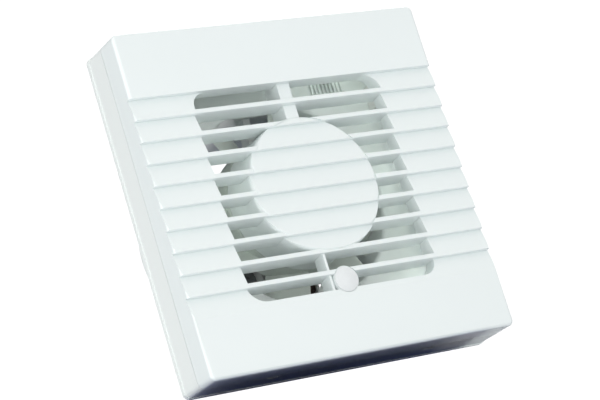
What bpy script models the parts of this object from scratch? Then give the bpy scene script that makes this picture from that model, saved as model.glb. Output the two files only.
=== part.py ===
"""Bathroom extractor fan for a 100 mm duct: louvred cover, duct housing, impeller and shaded-pole motor.

The fan is modelled in metres with +Z up. Its front faces -Y and the duct runs along +Y. The origin is
on the duct axis, in the plane of the wall that the fan is fixed to.
"""

import math

import bmesh
import bpy
from mathutils import Matrix, Vector

# Driving dimensions (metres)

FIT_GAP = 0.0003            # clearance between pieces that touch

COVER_SIDE = 0.158          # square front
PROJECTION = 0.028          # front face to wall
COVER_DEPTH = 0.0128        # side walls of the removable cover
SHELL_WALL = 0.0020
FRONT_SKIN = 0.0022
CORNER_RADIUS = 0.0028
FRONT_FILLET = 0.0016
FLANGE_LIP = 0.0004         # the back plate stands this proud of the side walls

STEP_COUNT = 10             # downward steps of the louvred zone
STEP_PITCH = 0.0101
STEP_DEPTH = 0.0027
FIRST_STEP_Z = 0.0487

OPENING_WIDTH = 0.0976
OPENING_SILL = 0.0070       # opening's lower edge below the last step
OPENING_RADIUS = 0.0078
COLLAR_WALL = 0.0016
COLLAR_DEPTH = 0.0092

SLAT_LIP = 0.0023
SLAT_SETBACK = 0.0001       # behind the louvred front
SLAT_DEPTH = 0.0116
SLAT_DROP = 0.0007
SLAT_REAR = 0.0013

DISC_RADIUS = 0.0322
DISC_SKIRT = 0.0240
DISC_WALL = 0.0018
DISC_FILLET = 0.0034

TOP_RIB_WIDTH = 0.0068
TOP_RIB_SETBACK = 0.0033
TOP_RIB_DEPTH = 0.0112
SIDE_RIB_X = -0.0072
SIDE_RIB_WALL = 0.0013

LENS_Z = -0.0452
LENS_RADIUS = 0.0058
LENS_STEM_RADIUS = 0.0046
STEM_GAP = 0.0046            # from the lens stem to the lamp behind it
BOSS_WALL = 0.0013
BOSS_GAP = 0.0012            # from the boss to the lamp behind it

SNAP_X = 0.0410
SNAP_WIDTH = 0.0100
SNAP_WALL = 0.0015
SNAP_WINDOW = 0.0060
SNAP_WINDOW_HEIGHT = 0.0022

PLATE_WALL = 0.0022
BORE_RADIUS = 0.0475
SPIGOT_WALL = 0.0015
SPIGOT_LENGTH = 0.0567
MOUTH_ROUND = 0.0016
ROUND_STEPS = 72

IMPELLER_GAP = 0.0012       # between skirt and hub, and between blade tip and bore
HUB_RADIUS = 0.0322
HUB_LENGTH = 0.0138
HUB_WALL = 0.0016
BLADE_COUNT = 8
BLADE_LENGTH = 0.0115
BLADE_WALL = 0.0014
BLADE_SWEEP = 29.0          # degrees that a blade turns along the axis at its root
BLADE_TIP_SWEEP = 20.0
BLADE_MIDDLE = 120.0        # degrees, middle of the first blade at rest

SHAFT_RADIUS = 0.0016
SHAFT_PLAY = 0.0003
MOUNT_GAP = 0.0022          # blades to motor mount
MOUNT_WALL = 0.0024
MOUNT_RADIUS = 0.0260
STRUT_COUNT = 3
STRUT_WIDTH = 0.0036
STRUT_DEPTH = 0.0070

CORE_WIDTH = 0.0500
CORE_TOP = 0.0180
CORE_LEG_TOP = 0.0245
CORE_LEG = 0.0060
CORE_STACK = 0.0120
WINDOW_WIDTH = 0.0280
WINDOW_TOP = 0.0168
ROTOR_RADIUS = 0.0122
AIR_GAP = 0.0005
BRACKET_STANDOFF = 0.0052
BRACKET_STRIP = 0.0018
BRACKET_HEIGHT = 0.0110
BUSH_RADIUS = 0.0044
BUSH_LENGTH = 0.0044
SCREW_X = 0.0192
MOTOR_SCREW_RADIUS = 0.00145
COIL_BULGE = 0.0062
SHADING_ANGLE = 28.0        # degrees round the rotor to a shading ring, and across it
SHADING_SPAN = 17.0

BLOCK_X = 0.0664
BLOCK_Z = 0.0440
BLOCK_POLES = 3
BLOCK_PITCH = 0.0058
BLOCK_HEIGHT = 0.0110
BLOCK_DEPTH = 0.0100
BLOCK_FOOT = 0.0066

CLAMP_X = 0.0364
CLAMP_Z = 0.0660
CLAMP_LENGTH = 0.0190
CLAMP_WIDTH = 0.0064
CLAMP_HEIGHT = 0.0034
CLAMP_CHANNEL = 0.0034
PAD_LEFT = 0.0284
PAD_RIBS = 9
PAD_RIB_PITCH = 0.0020
PAD_BOTTOM = 0.0498
CABLE_HOLE_X = 0.0140
CABLE_HOLE_Z = 0.0640
CABLE_HOLE_RADIUS = 0.0062
FIXING_PITCH = 0.1320
FIXING_RADIUS = 0.0024

INSERT_RADIUS = 0.0019

LEAD_RADIUS = 0.00065
LEAD_ANGLE = -64.0          # degrees, where the motor leads leave the spigot
NEON_LEAD_RADIUS = 0.0005
NEON_RADIUS = 0.0023
NEON_STANDOFF = 0.0146       # from the back plate to the lamp's front

# Places worked out from the driving dimensions

FRONT = -PROJECTION
HALF = COVER_SIDE / 2
LAST_STEP_Z = FIRST_STEP_Z - (STEP_COUNT - 1) * STEP_PITCH
SAW_END_Z = LAST_STEP_Z - STEP_PITCH
SILL_Z = LAST_STEP_Z - OPENING_SILL
COVER_REAR = FRONT + COVER_DEPTH
HOUSING_FRONT = COVER_REAR + FIT_GAP
PLATE_FRONT = -PLATE_WALL
SPIGOT_RADIUS = BORE_RADIUS + SPIGOT_WALL
SKIRT_REAR = FRONT + DISC_SKIRT
HUB_FRONT = SKIRT_REAR + IMPELLER_GAP
BLADE_FRONT = HUB_FRONT + 0.0024
BLADE_REAR = BLADE_FRONT + BLADE_LENGTH
BLADE_TIP = BORE_RADIUS - IMPELLER_GAP
HUB_REAR = HUB_FRONT + HUB_LENGTH
MOUNT_FRONT = HUB_REAR + MOUNT_GAP
MOUNT_REAR = MOUNT_FRONT + MOUNT_WALL
FRONT_STRIP_Y = MOUNT_REAR + FIT_GAP
CORE_FRONT = FRONT_STRIP_Y + BRACKET_STRIP + BRACKET_STANDOFF + FIT_GAP
CORE_REAR = CORE_FRONT + CORE_STACK
REAR_STRIP_Y = CORE_REAR + FIT_GAP + BRACKET_STANDOFF
MOTOR_REAR = REAR_STRIP_Y + BRACKET_STRIP
CORE_BOTTOM = -(CORE_LEG_TOP + CORE_LEG)
LENS_BACK = FRONT + 0.0006
NEON_FRONT = PLATE_FRONT - NEON_STANDOFF
PAD_FRONT = PLATE_FRONT - 0.0030
CLAMP_FRONT = PAD_FRONT - FIT_GAP - CLAMP_HEIGHT
SNAP_TIP = CLAMP_FRONT - FIT_GAP

parts = None
guides = None


# Scene and materials

def clear_scene():
    for obj in list(bpy.data.objects):
        bpy.data.objects.remove(obj, do_unlink=True)


def new_collection(name):
    collection = bpy.data.collections.new(name)
    bpy.context.scene.collection.children.link(collection)
    return collection


def finish(obj, colour, roughness, metallic=0.0):
    """Give a part its own Principled material."""
    material = bpy.data.materials.new(obj.name + "_finish")
    material.use_nodes = True
    shader = material.node_tree.nodes["Principled BSDF"]
    shader.inputs["Base Color"].default_value = (*colour, 1.0)
    shader.inputs["Roughness"].default_value = roughness
    shader.inputs["Metallic"].default_value = metallic
    obj.data.materials.clear()
    obj.data.materials.append(material)
    return obj


WHITE = (0.86, 0.89, 0.89)
SHADE = (0.74, 0.77, 0.76)
DARK = (0.05, 0.055, 0.065)
STEEL = (0.55, 0.56, 0.58)
COPPER = (0.72, 0.30, 0.14)
BRASS = (0.72, 0.55, 0.25)
LEAD_COLOURS = ((0.30, 0.16, 0.08), (0.08, 0.16, 0.45))


# Building blocks

def link(name, mesh, collection=None):
    obj = bpy.data.objects.new(name, mesh)
    (collection or parts).objects.link(obj)
    return obj


def guide(name, mesh):
    """A cutter or a piece to be joined: it is hidden and never a part by itself."""
    obj = link(name, mesh, guides)
    obj.hide_render = True
    obj.display_type = "WIRE"
    return obj


def mesh_of(bm, name):
    bmesh.ops.recalc_face_normals(bm, faces=bm.faces)
    mesh = bpy.data.meshes.new(name)
    bm.to_mesh(mesh)
    bm.free()
    return mesh


def box(name, low, high):
    bm = bmesh.new()
    size = [b - a for a, b in zip(low, high)]
    centre = [(a + b) / 2 for a, b in zip(low, high)]
    bmesh.ops.create_cube(bm, size=1.0)
    bmesh.ops.scale(bm, vec=size, verts=bm.verts)
    bmesh.ops.translate(bm, vec=centre, verts=bm.verts)
    return mesh_of(bm, name)


def rounded_box(name, low, high, radius, segments=4):
    """A box whose four edges along Y are rounded."""
    bm = bmesh.new()
    bm.from_mesh(box(name, low, high))
    edges = [e for e in bm.edges if abs((e.verts[0].co - e.verts[1].co).normalized().y) > 0.99]
    bmesh.ops.bevel(bm, geom=edges, offset=radius, segments=segments, profile=0.5, affect="EDGES")
    return mesh_of(bm, name)


def drum(name, radius, y0, y1, x=0.0, z=0.0, steps=24):
    """A cylinder along Y."""
    bm = bmesh.new()
    place = Matrix.Translation((x, (y0 + y1) / 2, z)) @ Matrix.Rotation(math.radians(90), 4, "X")
    bmesh.ops.create_cone(bm, cap_ends=True, segments=steps, radius1=radius, radius2=radius,
                          depth=y1 - y0, matrix=place)
    return mesh_of(bm, name)


def join_meshes(name, meshes):
    """Several separate closed shapes in one mesh, to be used as one cutter."""
    bm = bmesh.new()
    for mesh in meshes:
        bm.from_mesh(mesh)
    result = bpy.data.meshes.new(name)
    bm.to_mesh(result)
    bm.free()
    return result


def outline_mesh(name, loops, thickness, place):
    """A flat outline, with its holes, made solid and put in place."""
    curve = bpy.data.curves.new(name, "CURVE")
    curve.dimensions = "2D"
    curve.fill_mode = "BOTH"
    curve.extrude = thickness / 2
    for loop in loops:
        spline = curve.splines.new("POLY")
        spline.points.add(len(loop) - 1)
        for point, (u, v) in zip(spline.points, loop):
            point.co = (u, v, 0.0, 1.0)
        spline.use_cyclic_u = True
    source = bpy.data.objects.new(name, curve)
    guides.objects.link(source)
    graph = bpy.context.evaluated_depsgraph_get()
    mesh = bpy.data.meshes.new_from_object(source.evaluated_get(graph))
    bpy.data.objects.remove(source, do_unlink=True)
    bm = bmesh.new()
    bm.from_mesh(mesh)
    bmesh.ops.remove_doubles(bm, verts=bm.verts, dist=1e-6)
    bmesh.ops.transform(bm, matrix=place, verts=bm.verts)
    return mesh_of(bm, name)


def front_outline(name, loops, y0, y1):
    """Outlines given as (x, z), solid from y0 to y1."""
    place = Matrix.Translation((0, (y0 + y1) / 2, 0)) @ Matrix.Rotation(math.radians(90), 4, "X")
    return outline_mesh(name, loops, y1 - y0, place)


def side_outline(name, loop, x0, x1):
    """An outline given as (y, z), solid from x0 to x1."""
    turn = Matrix(((0, 0, 1, 0), (1, 0, 0, 0), (0, 1, 0, 0), (0, 0, 0, 1)))
    return outline_mesh(name, [loop], x1 - x0, Matrix.Translation(((x0 + x1) / 2, 0, 0)) @ turn)


def arc(cx, cz, radius, start, end, steps):
    """Points on an arc, angles in degrees."""
    angles = [math.radians(start + (end - start) * i / steps) for i in range(steps + 1)]
    return [(cx + radius * math.cos(a), cz + radius * math.sin(a)) for a in angles]


def rounded_rectangle(x0, x1, z0, z1, radius, steps=5):
    corners = [(x1, z1, 0), (x0, z1, 90), (x0, z0, 180), (x1, z0, 270)]
    points = []
    for x, z, start in corners:
        cx = x - math.copysign(radius, x - (x0 + x1) / 2)
        cz = z - math.copysign(radius, z - (z0 + z1) / 2)
        points += arc(cx, cz, radius, start, start + 90, steps)
    return points


def turned(name, profile, steps, collection=None, place=(0, 0, 0)):
    """A profile of (radius, y) turned about the Y axis. It runs from rear to front on its outer side."""
    bm = bmesh.new()
    verts = [bm.verts.new((r, 0.0, y)) for r, y in profile]
    closed = profile[0][0] > 1e-9 or profile[-1][0] > 1e-9
    for a, b in zip(verts, verts[1:]):
        bm.edges.new((a, b))
    if closed:
        bm.edges.new((verts[-1], verts[0]))
    mesh = bpy.data.meshes.new(name)
    bm.to_mesh(mesh)
    bm.free()
    obj = link(name, mesh, collection)
    screw = obj.modifiers.new("turn", "SCREW")
    screw.steps = steps
    screw.render_steps = steps
    screw.use_merge_vertices = True
    screw.merge_threshold = 1e-6
    obj.rotation_euler = (math.radians(-90), 0, 0)
    obj.location = place
    return obj


def turned_guide(name, profile, steps, place=(0, 0, 0)):
    obj = turned(name, profile, steps, guides, place)
    obj.hide_render = True
    obj.display_type = "WIRE"
    return obj


def boolean(obj, other, operation):
    modifier = obj.modifiers.new(other.name, "BOOLEAN")
    modifier.operation = operation
    modifier.solver = "EXACT"
    modifier.object = other


def cut(obj, *others):
    for other in others:
        boolean(obj, other, "DIFFERENCE")


def add(obj, *others):
    for other in others:
        boolean(obj, other, "UNION")


def ring_profile(inner, outer, y0, y1):
    return [(outer, y1), (outer, y0), (inner, y0), (inner, y1)]


def wire(name, points, radius):
    """An insulated lead along a smooth curve through its points."""
    curve = bpy.data.curves.new(name, "CURVE")
    curve.dimensions = "3D"
    curve.bevel_depth = radius
    curve.bevel_resolution = 2
    curve.use_fill_caps = True
    path = smooth_path(points, radius * 6)
    spline = curve.splines.new("POLY")
    spline.points.add(len(path) - 1)
    for point, place in zip(spline.points, path):
        point.co = (*place, 1.0)
    obj = bpy.data.objects.new(name, curve)
    parts.objects.link(obj)
    return obj


def smooth_path(points, spacing):
    """Points along a Catmull-Rom curve through the given ones, about the spacing apart."""
    knots = [Vector(p) for p in points]
    knots = [knots[0] * 2 - knots[1]] + knots + [knots[-1] * 2 - knots[-2]]
    path = [knots[1]]
    for p0, p1, p2, p3 in zip(knots, knots[1:], knots[2:], knots[3:]):
        count = max(1, round((p2 - p1).length / spacing))
        for i in range(1, count + 1):
            t = i / count
            path.append(0.5 * (2 * p1 + (p2 - p0) * t + (2 * p0 - 5 * p1 + 4 * p2 - p3) * t ** 2
                               + (3 * p1 - p0 - 3 * p2 + p3) * t ** 3))
    return path


# Cover

def saw_line(front):
    """The louvred zone's outline as (y, z), from the first step down."""
    points = [(front, FIRST_STEP_Z), (front + STEP_DEPTH, FIRST_STEP_Z)]
    for k in range(1, STEP_COUNT):
        z = FIRST_STEP_Z - k * STEP_PITCH
        points += [(front, z), (front + STEP_DEPTH, z)]
    points.append((front, SAW_END_Z))
    return points


def saw_cutter(name, half_width):
    ahead = FRONT - 0.004
    loop = [(ahead, FIRST_STEP_Z)] + saw_line(FRONT) + [(ahead, SAW_END_Z)]
    return guide(name, side_outline(name, loop, -half_width, half_width))


def opening_outline(grow=0.0):
    half = OPENING_WIDTH / 2 + grow
    return rounded_rectangle(-half, half, SILL_Z - grow, FIRST_STEP_Z + grow, OPENING_RADIUS + grow)


def cover_shell():
    """The square shell with a rounded front edge."""
    bm = bmesh.new()
    bm.from_mesh(rounded_box("shell", (-HALF, FRONT, -HALF), (HALF, COVER_REAR, HALF), CORNER_RADIUS))
    front_edges = [e for e in bm.edges if all(abs(v.co.y - FRONT) < 1e-7 for v in e.verts)]
    bmesh.ops.bevel(bm, geom=front_edges, offset=FRONT_FILLET, segments=3, profile=0.5, affect="EDGES")
    return mesh_of(bm, "front_cover")


def cover_hollow():
    """The room inside the shell, which keeps an even skin behind the steps."""
    inside = HALF - SHELL_WALL
    rear = COVER_REAR + 0.002
    flat = FRONT + FRONT_SKIN
    deep = flat + STEP_DEPTH
    loop = [(rear, inside), (flat, inside), (flat, FIRST_STEP_Z + FRONT_SKIN),
            (deep, FIRST_STEP_Z + FRONT_SKIN), (deep, SAW_END_Z), (flat, SAW_END_Z),
            (flat, -inside), (rear, -inside)]
    return guide("cover_hollow", side_outline("cover_hollow", loop, -inside, inside))


def slat_guide(k):
    """One slat across the opening, its lip on the step above gap k."""
    tip = FIRST_STEP_Z - k * STEP_PITCH
    edge_y = FRONT + SLAT_SETBACK
    lip_y = edge_y + STEP_DEPTH * SLAT_LIP / STEP_PITCH
    rear = FRONT + SLAT_DEPTH
    loop = [(edge_y, tip), (rear, tip - SLAT_DROP), (rear, tip - SLAT_DROP + SLAT_REAR),
            (lip_y, tip + SLAT_LIP)]
    half = OPENING_WIDTH / 2 + COLLAR_WALL / 2
    return side_outline(f"slat_{k}", loop, -half, half)


def disc_guide():
    """The centre disc, cut to the steps, with its skirt behind."""
    disc = guide("disc", drum("disc", DISC_RADIUS, FRONT, SKIRT_REAR, steps=ROUND_STEPS))
    bm = bmesh.new()
    bm.from_mesh(disc.data)
    rim = [e for e in bm.edges if all(abs(v.co.y - FRONT) < 1e-7 for v in e.verts)]
    bmesh.ops.bevel(bm, geom=rim, offset=DISC_FILLET, segments=4, profile=0.5, affect="EDGES")
    bm.to_mesh(disc.data)
    bm.free()
    hollow_front = FRONT + STEP_DEPTH + FRONT_SKIN
    hollow = guide("disc_hollow", drum("disc_hollow", DISC_RADIUS - DISC_WALL, hollow_front,
                                       SKIRT_REAR + 0.002, steps=ROUND_STEPS))
    cut(disc, saw_cutter("disc_saw", HALF), hollow)
    return disc


def front_cover():
    cover = link("front_cover", cover_shell())
    cut(cover, cover_hollow(), saw_cutter("cover_saw", HALF + 0.004))
    opening = guide("opening", front_outline("opening", [opening_outline()], FRONT - 0.004,
                                             FRONT + 0.008))
    cut(cover, opening)
    collar = front_outline("collar", [opening_outline(COLLAR_WALL), opening_outline()],
                           FRONT + STEP_DEPTH + 0.0004, FRONT + COLLAR_DEPTH)
    add(cover, guide("collar", collar))
    slats = guide("slats", join_meshes("slats", [slat_guide(k) for k in range(1, STEP_COUNT)]))
    cut(slats, guide("slat_gap", drum("slat_gap", DISC_RADIUS - DISC_WALL * 0.45, FRONT - 0.002,
                                      FRONT + SLAT_DEPTH + 0.002, steps=ROUND_STEPS)))
    add(cover, slats)
    rib_front = FRONT + TOP_RIB_SETBACK
    rib = box("top_rib", (-TOP_RIB_WIDTH / 2, rib_front, DISC_RADIUS - DISC_WALL / 2),
              (TOP_RIB_WIDTH / 2, rib_front + TOP_RIB_DEPTH, FIRST_STEP_Z + COLLAR_WALL / 2))
    side = box("side_rib", (SIDE_RIB_X - SIDE_RIB_WALL / 2, FRONT + 0.0012, SILL_Z - COLLAR_WALL / 2),
               (SIDE_RIB_X + SIDE_RIB_WALL / 2, FRONT + COLLAR_DEPTH, -DISC_RADIUS + 0.0022))
    add(cover, guide("ribs", join_meshes("ribs", [rib, side])), disc_guide())
    boss_outer = LENS_STEM_RADIUS + FIT_GAP + BOSS_WALL
    boss = guide("boss", drum("boss", boss_outer, LENS_BACK + FIT_GAP, NEON_FRONT - BOSS_GAP,
                              z=LENS_Z, steps=32))
    lens_seat = guide("lens_seat", drum("lens_seat", LENS_RADIUS + FIT_GAP, FRONT - 0.003,
                                        LENS_BACK + FIT_GAP, z=LENS_Z, steps=32))
    lens_bore = guide("lens_bore", drum("lens_bore", LENS_STEM_RADIUS + FIT_GAP, FRONT - 0.003,
                                        FRONT + SLAT_DEPTH + 0.002, z=LENS_Z, steps=32))
    add(cover, boss)
    cut(cover, lens_seat, lens_bore)
    add(cover, guide("snaps", join_meshes("snaps", [snap_mesh(x, s) for x in (-SNAP_X, SNAP_X)
                                                    for s in (-1, 1)])))
    return finish(cover, WHITE, 0.35)


def snap_mesh(x, side):
    """A tongue of the cover that lies just inside the housing's wall."""
    outer = HALF - SHELL_WALL
    back = COVER_REAR - 0.0006
    loop = [(FRONT + FRONT_SKIN - 0.0004, outer + 0.0004), (back, outer + 0.0004),
            (back, outer - FIT_GAP), (SNAP_TIP, outer - FIT_GAP),
            (SNAP_TIP, outer - FIT_GAP - SNAP_WALL),
            (FRONT + FRONT_SKIN - 0.0004, outer - FIT_GAP - SNAP_WALL)]
    loop = [(y, z * side) for y, z in loop]
    return side_outline("snap", loop, x - SNAP_WIDTH / 2, x + SNAP_WIDTH / 2)


def indicator_lens():
    crown = FRONT - 0.0004
    stem_rear = NEON_FRONT - STEM_GAP
    edge = 0.0008
    profile = [(0.0, stem_rear), (LENS_STEM_RADIUS, stem_rear), (LENS_STEM_RADIUS, LENS_BACK),
               (LENS_RADIUS, LENS_BACK), (LENS_RADIUS, crown + edge)]
    sphere = (LENS_RADIUS ** 2 + edge ** 2) / (2 * edge)
    for i in range(1, 5):
        r = LENS_RADIUS * (1 - i / 4)
        profile.append((r, crown + sphere - math.sqrt(sphere ** 2 - r ** 2)))
    lens = turned("indicator_lens", profile, 28, place=(0, 0, LENS_Z))
    return finish(lens, WHITE, 0.2)


# Housing

def housing_tray():
    tray = link("fan_housing", rounded_box("fan_housing", (-HALF, HOUSING_FRONT, -HALF),
                                           (HALF, 0.0, HALF), CORNER_RADIUS))
    inside = HALF - SHELL_WALL
    cut(tray, guide("tray_room", box("tray_room", (-inside, HOUSING_FRONT - 0.002, -inside),
                                     (inside, PLATE_FRONT, inside))))
    lip = HALF + FLANGE_LIP
    flange = rounded_box("flange", (-lip, PLATE_FRONT + 0.0002, -lip), (lip, 0.0, lip),
                         CORNER_RADIUS + FLANGE_LIP)
    add(tray, guide("flange", flange))
    return tray


def duct_guides():
    """The spigot with its rounded mouth, and the bore that goes through plate and spigot."""
    outer = [(SPIGOT_RADIUS, SPIGOT_LENGTH), (SPIGOT_RADIUS, PLATE_FRONT + 0.0004),
             (BORE_RADIUS - 0.0006, PLATE_FRONT + 0.0004), (BORE_RADIUS - 0.0006, SPIGOT_LENGTH)]
    tube = turned_guide("spigot", outer, ROUND_STEPS)
    profile = [(0.0, SPIGOT_LENGTH + 0.002), (BORE_RADIUS, SPIGOT_LENGTH + 0.002)]
    centre_y = PLATE_FRONT + MOUTH_ROUND
    for i in range(5):
        angle = math.radians(90 * i / 4)
        profile.append((BORE_RADIUS + MOUTH_ROUND * (1 - math.cos(angle)),
                        centre_y - MOUTH_ROUND * math.sin(angle)))
    profile += [(BORE_RADIUS + MOUTH_ROUND, PLATE_FRONT - 0.002), (0.0, PLATE_FRONT - 0.002)]
    return tube, turned_guide("bore", profile, ROUND_STEPS)


def motor_mount_guide():
    """The plate that carries the motor, on struts from the spigot wall."""
    mount = guide("motor_mount", drum("motor_mount", MOUNT_RADIUS, MOUNT_FRONT, MOUNT_REAR, steps=48))
    struts = []
    for i in range(STRUT_COUNT):
        strut = box("strut", (MOUNT_RADIUS - 0.003, MOUNT_FRONT + 0.0004, -STRUT_WIDTH / 2),
                    (BORE_RADIUS + SPIGOT_WALL / 2, MOUNT_FRONT + STRUT_DEPTH, STRUT_WIDTH / 2))
        strut.transform(Matrix.Rotation(math.radians(-90 - 360 * i / STRUT_COUNT), 4, "Y"))
        struts.append(strut)
    add(mount, guide("struts", join_meshes("struts", struts)))
    holes = [drum("shaft_hole", BUSH_RADIUS + 0.003, MOUNT_FRONT - 0.001, MOUNT_REAR + 0.001)]
    holes += [drum("screw_hole", MOTOR_SCREW_RADIUS + FIT_GAP, MOUNT_FRONT - 0.001,
                   MOUNT_REAR + 0.001, x=x, steps=16) for x in (-SCREW_X, SCREW_X)]
    cut(mount, guide("mount_holes", join_meshes("mount_holes", holes)))
    return mount


def post(x, z, radius, front, steps=16):
    """A boss on the back plate."""
    return drum("post", radius, front, PLATE_FRONT + 0.0008, x=x, z=z, steps=steps)


def plate_features():
    """Bosses and screw posts that stand on the back plate, and the ribs under the cable."""
    half_fix = FIXING_PITCH / 2
    posts = [post(x, z, FIXING_RADIUS + 0.0030, PLATE_FRONT - 0.0022)
             for x in (-half_fix, half_fix) for z in (-half_fix, half_fix)]
    posts += [post(CLAMP_X, clamp_screw_z(side), 0.0026, PAD_FRONT) for side in (-1, 1)]
    posts.append(post(0.0, neon_foot_z(), 0.0026, PLATE_FRONT - 0.0016))
    pad_top = CLAMP_Z + CLAMP_LENGTH / 2
    ribs = []
    for i in range(PAD_RIBS):
        x = PAD_LEFT + PAD_RIB_PITCH * i
        ribs.append(box("pad_rib", (x - 0.0004, PLATE_FRONT - 0.0014, PAD_BOTTOM),
                        (x + 0.0004, PLATE_FRONT + 0.0008, pad_top)))
    return guide("posts", join_meshes("posts", posts)), guide("pad", join_meshes("pad", ribs))


def clamp_screw_z(side):
    return CLAMP_Z + side * (CLAMP_LENGTH / 2 - 0.0028)


def neon_foot_z():
    return LENS_Z - 0.0122


def block_length():
    return BLOCK_POLES * BLOCK_PITCH + 0.0024


def block_screw_z():
    return BLOCK_Z + BLOCK_HEIGHT / 2 + BLOCK_FOOT / 2


def plate_holes():
    half_fix = FIXING_PITCH / 2
    front = PLATE_FRONT - 0.0060
    rear = 0.002
    holes = [drum("fixing", FIXING_RADIUS, front, rear, x=x, z=z, steps=16)
             for x in (-half_fix, half_fix) for z in (-half_fix, half_fix)]
    holes.append(drum("cable_hole", CABLE_HOLE_RADIUS, front, rear, x=CABLE_HOLE_X, z=CABLE_HOLE_Z))
    holes += [drum("clamp_hole", 0.0014, front, rear, x=CLAMP_X, z=clamp_screw_z(side), steps=12)
              for side in (-1, 1)]
    holes.append(drum("block_hole", 0.0014, front, rear, x=BLOCK_X, z=block_screw_z(), steps=12))
    holes.append(drum("neon_hole", 0.0014, front, rear, z=neon_foot_z(), steps=12))
    lead_x, lead_z = lead_hole()
    holes.append(drum("lead_hole", 0.0030, front, rear, x=lead_x, z=lead_z, steps=16))
    windows = []
    height = SNAP_WINDOW_HEIGHT / 2
    centre = (COVER_REAR + SNAP_TIP) / 2
    for x in (-SNAP_X, SNAP_X):
        for z in (-HALF, HALF):
            windows.append(box("window", (x - SNAP_WINDOW / 2, centre - height, z - 0.003),
                               (x + SNAP_WINDOW / 2, centre + height, z + 0.003)))
    return guide("plate_holes", join_meshes("plate_holes", holes + windows))


def along_lead_angle(radius, aside=0.0):
    """A point (x, z) at this radius on the leads' way out of the spigot, and so far to its side."""
    angle = math.radians(LEAD_ANGLE)
    return (radius * math.cos(angle) - aside * math.sin(angle),
            radius * math.sin(angle) + aside * math.cos(angle))


def lead_hole():
    """Where the motor leads come back through the plate, outside the spigot."""
    return along_lead_angle(SPIGOT_RADIUS + 0.0042)


def spigot_lead_hole():
    hole = drum("spigot_lead_hole", 0.0030, BORE_RADIUS - 0.004, SPIGOT_RADIUS + 0.004, steps=16)
    turn = (Matrix.Rotation(math.radians(-LEAD_ANGLE), 4, "Y")
            @ Matrix.Rotation(math.radians(-90), 4, "Z"))
    hole.transform(Matrix.Translation((0, lead_exit_y(), 0)) @ turn)
    return guide("spigot_lead_hole", hole)


def lead_exit_y():
    return CORE_REAR + 0.004


def fan_housing():
    housing = housing_tray()
    tube, bore = duct_guides()
    add(housing, tube)
    cut(housing, bore)
    add(housing, motor_mount_guide(), *plate_features())
    cut(housing, plate_holes(), spigot_lead_hole())
    return finish(housing, SHADE, 0.45)


# Pieces on the back plate

def cable_grommet():
    """A blind grommet: the cable is pushed through its thin centre."""
    groove = CABLE_HOLE_RADIUS - FIT_GAP
    rim = CABLE_HOLE_RADIUS + 0.0018
    inner = CABLE_HOLE_RADIUS - 0.0024
    front = PLATE_FRONT - FIT_GAP
    profile = [(0.0, front - 0.0004), (inner, front - 0.0004), (inner, -0.0004), (groove, -0.0004),
               (groove, front), (rim, front), (rim, front - 0.0014), (inner + 0.0006, front - 0.0020),
               (inner, front - 0.0012), (0.0, front - 0.0012)]
    grommet = turned("cable_grommet", profile, 24, place=(CABLE_HOLE_X, 0, CABLE_HOLE_Z))
    return finish(grommet, DARK, 0.8)


def cable_clamp():
    rear = PAD_FRONT - FIT_GAP
    low, high = CLAMP_Z - CLAMP_LENGTH / 2, CLAMP_Z + CLAMP_LENGTH / 2
    clamp = link("cable_clamp", bevelled_box("cable_clamp", (CLAMP_X - CLAMP_WIDTH / 2, CLAMP_FRONT, low),
                                             (CLAMP_X + CLAMP_WIDTH / 2, rear, high), 0.0009))
    ways = [drum("way", 0.0014, CLAMP_FRONT - 0.001, rear + 0.001, x=CLAMP_X, z=clamp_screw_z(side),
                 steps=16) for side in (-1, 1)]
    channel = drum("channel", CLAMP_CHANNEL, -CLAMP_WIDTH, CLAMP_WIDTH)
    channel.transform(Matrix.Translation((CLAMP_X, rear + 0.0012, CLAMP_Z))
                      @ Matrix.Rotation(math.radians(90), 4, "Z"))
    cut(clamp, guide("clamp_cuts", join_meshes("clamp_cuts", ways + [channel])))
    return finish(clamp, WHITE, 0.4)


def bevelled_box(name, low, high, size):
    """A box whose front edges are bevelled."""
    bm = bmesh.new()
    bm.from_mesh(box(name, low, high))
    edges = [e for e in bm.edges if all(abs(v.co.y - low[1]) < 1e-7 for v in e.verts)]
    bmesh.ops.bevel(bm, geom=edges, offset=size, segments=2, profile=0.5, affect="EDGES")
    return mesh_of(bm, name)


def screw_mesh(name, head_radius, head_height, shank_radius, shank_length):
    """A pan-head screw: its head's underside at y = 0, the shank along +Y."""
    bm = bmesh.new()
    head = Matrix.Translation((0, -head_height / 2, 0)) @ Matrix.Rotation(math.radians(90), 4, "X")
    bmesh.ops.create_cone(bm, cap_ends=True, segments=14, radius1=head_radius,
                          radius2=head_radius, depth=head_height, matrix=head)
    bm.normal_update()
    rim = list({e for f in bm.faces if f.normal.y < -0.9 for e in f.edges})
    bmesh.ops.bevel(bm, geom=rim, offset=head_height * 0.35, segments=2, profile=0.5, affect="EDGES")
    bm.normal_update()
    under = [f for f in bm.faces if f.normal.y > 0.9]
    bmesh.ops.inset_region(bm, faces=under, thickness=head_radius - shank_radius)
    moved = bmesh.ops.extrude_face_region(bm, geom=under)
    verts = [v for v in moved["geom"] if isinstance(v, bmesh.types.BMVert)]
    bmesh.ops.translate(bm, vec=(0, shank_length, 0), verts=verts)
    bmesh.ops.delete(bm, geom=[f for f in under if f.is_valid], context="FACES")
    return mesh_of(bm, name)


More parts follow.
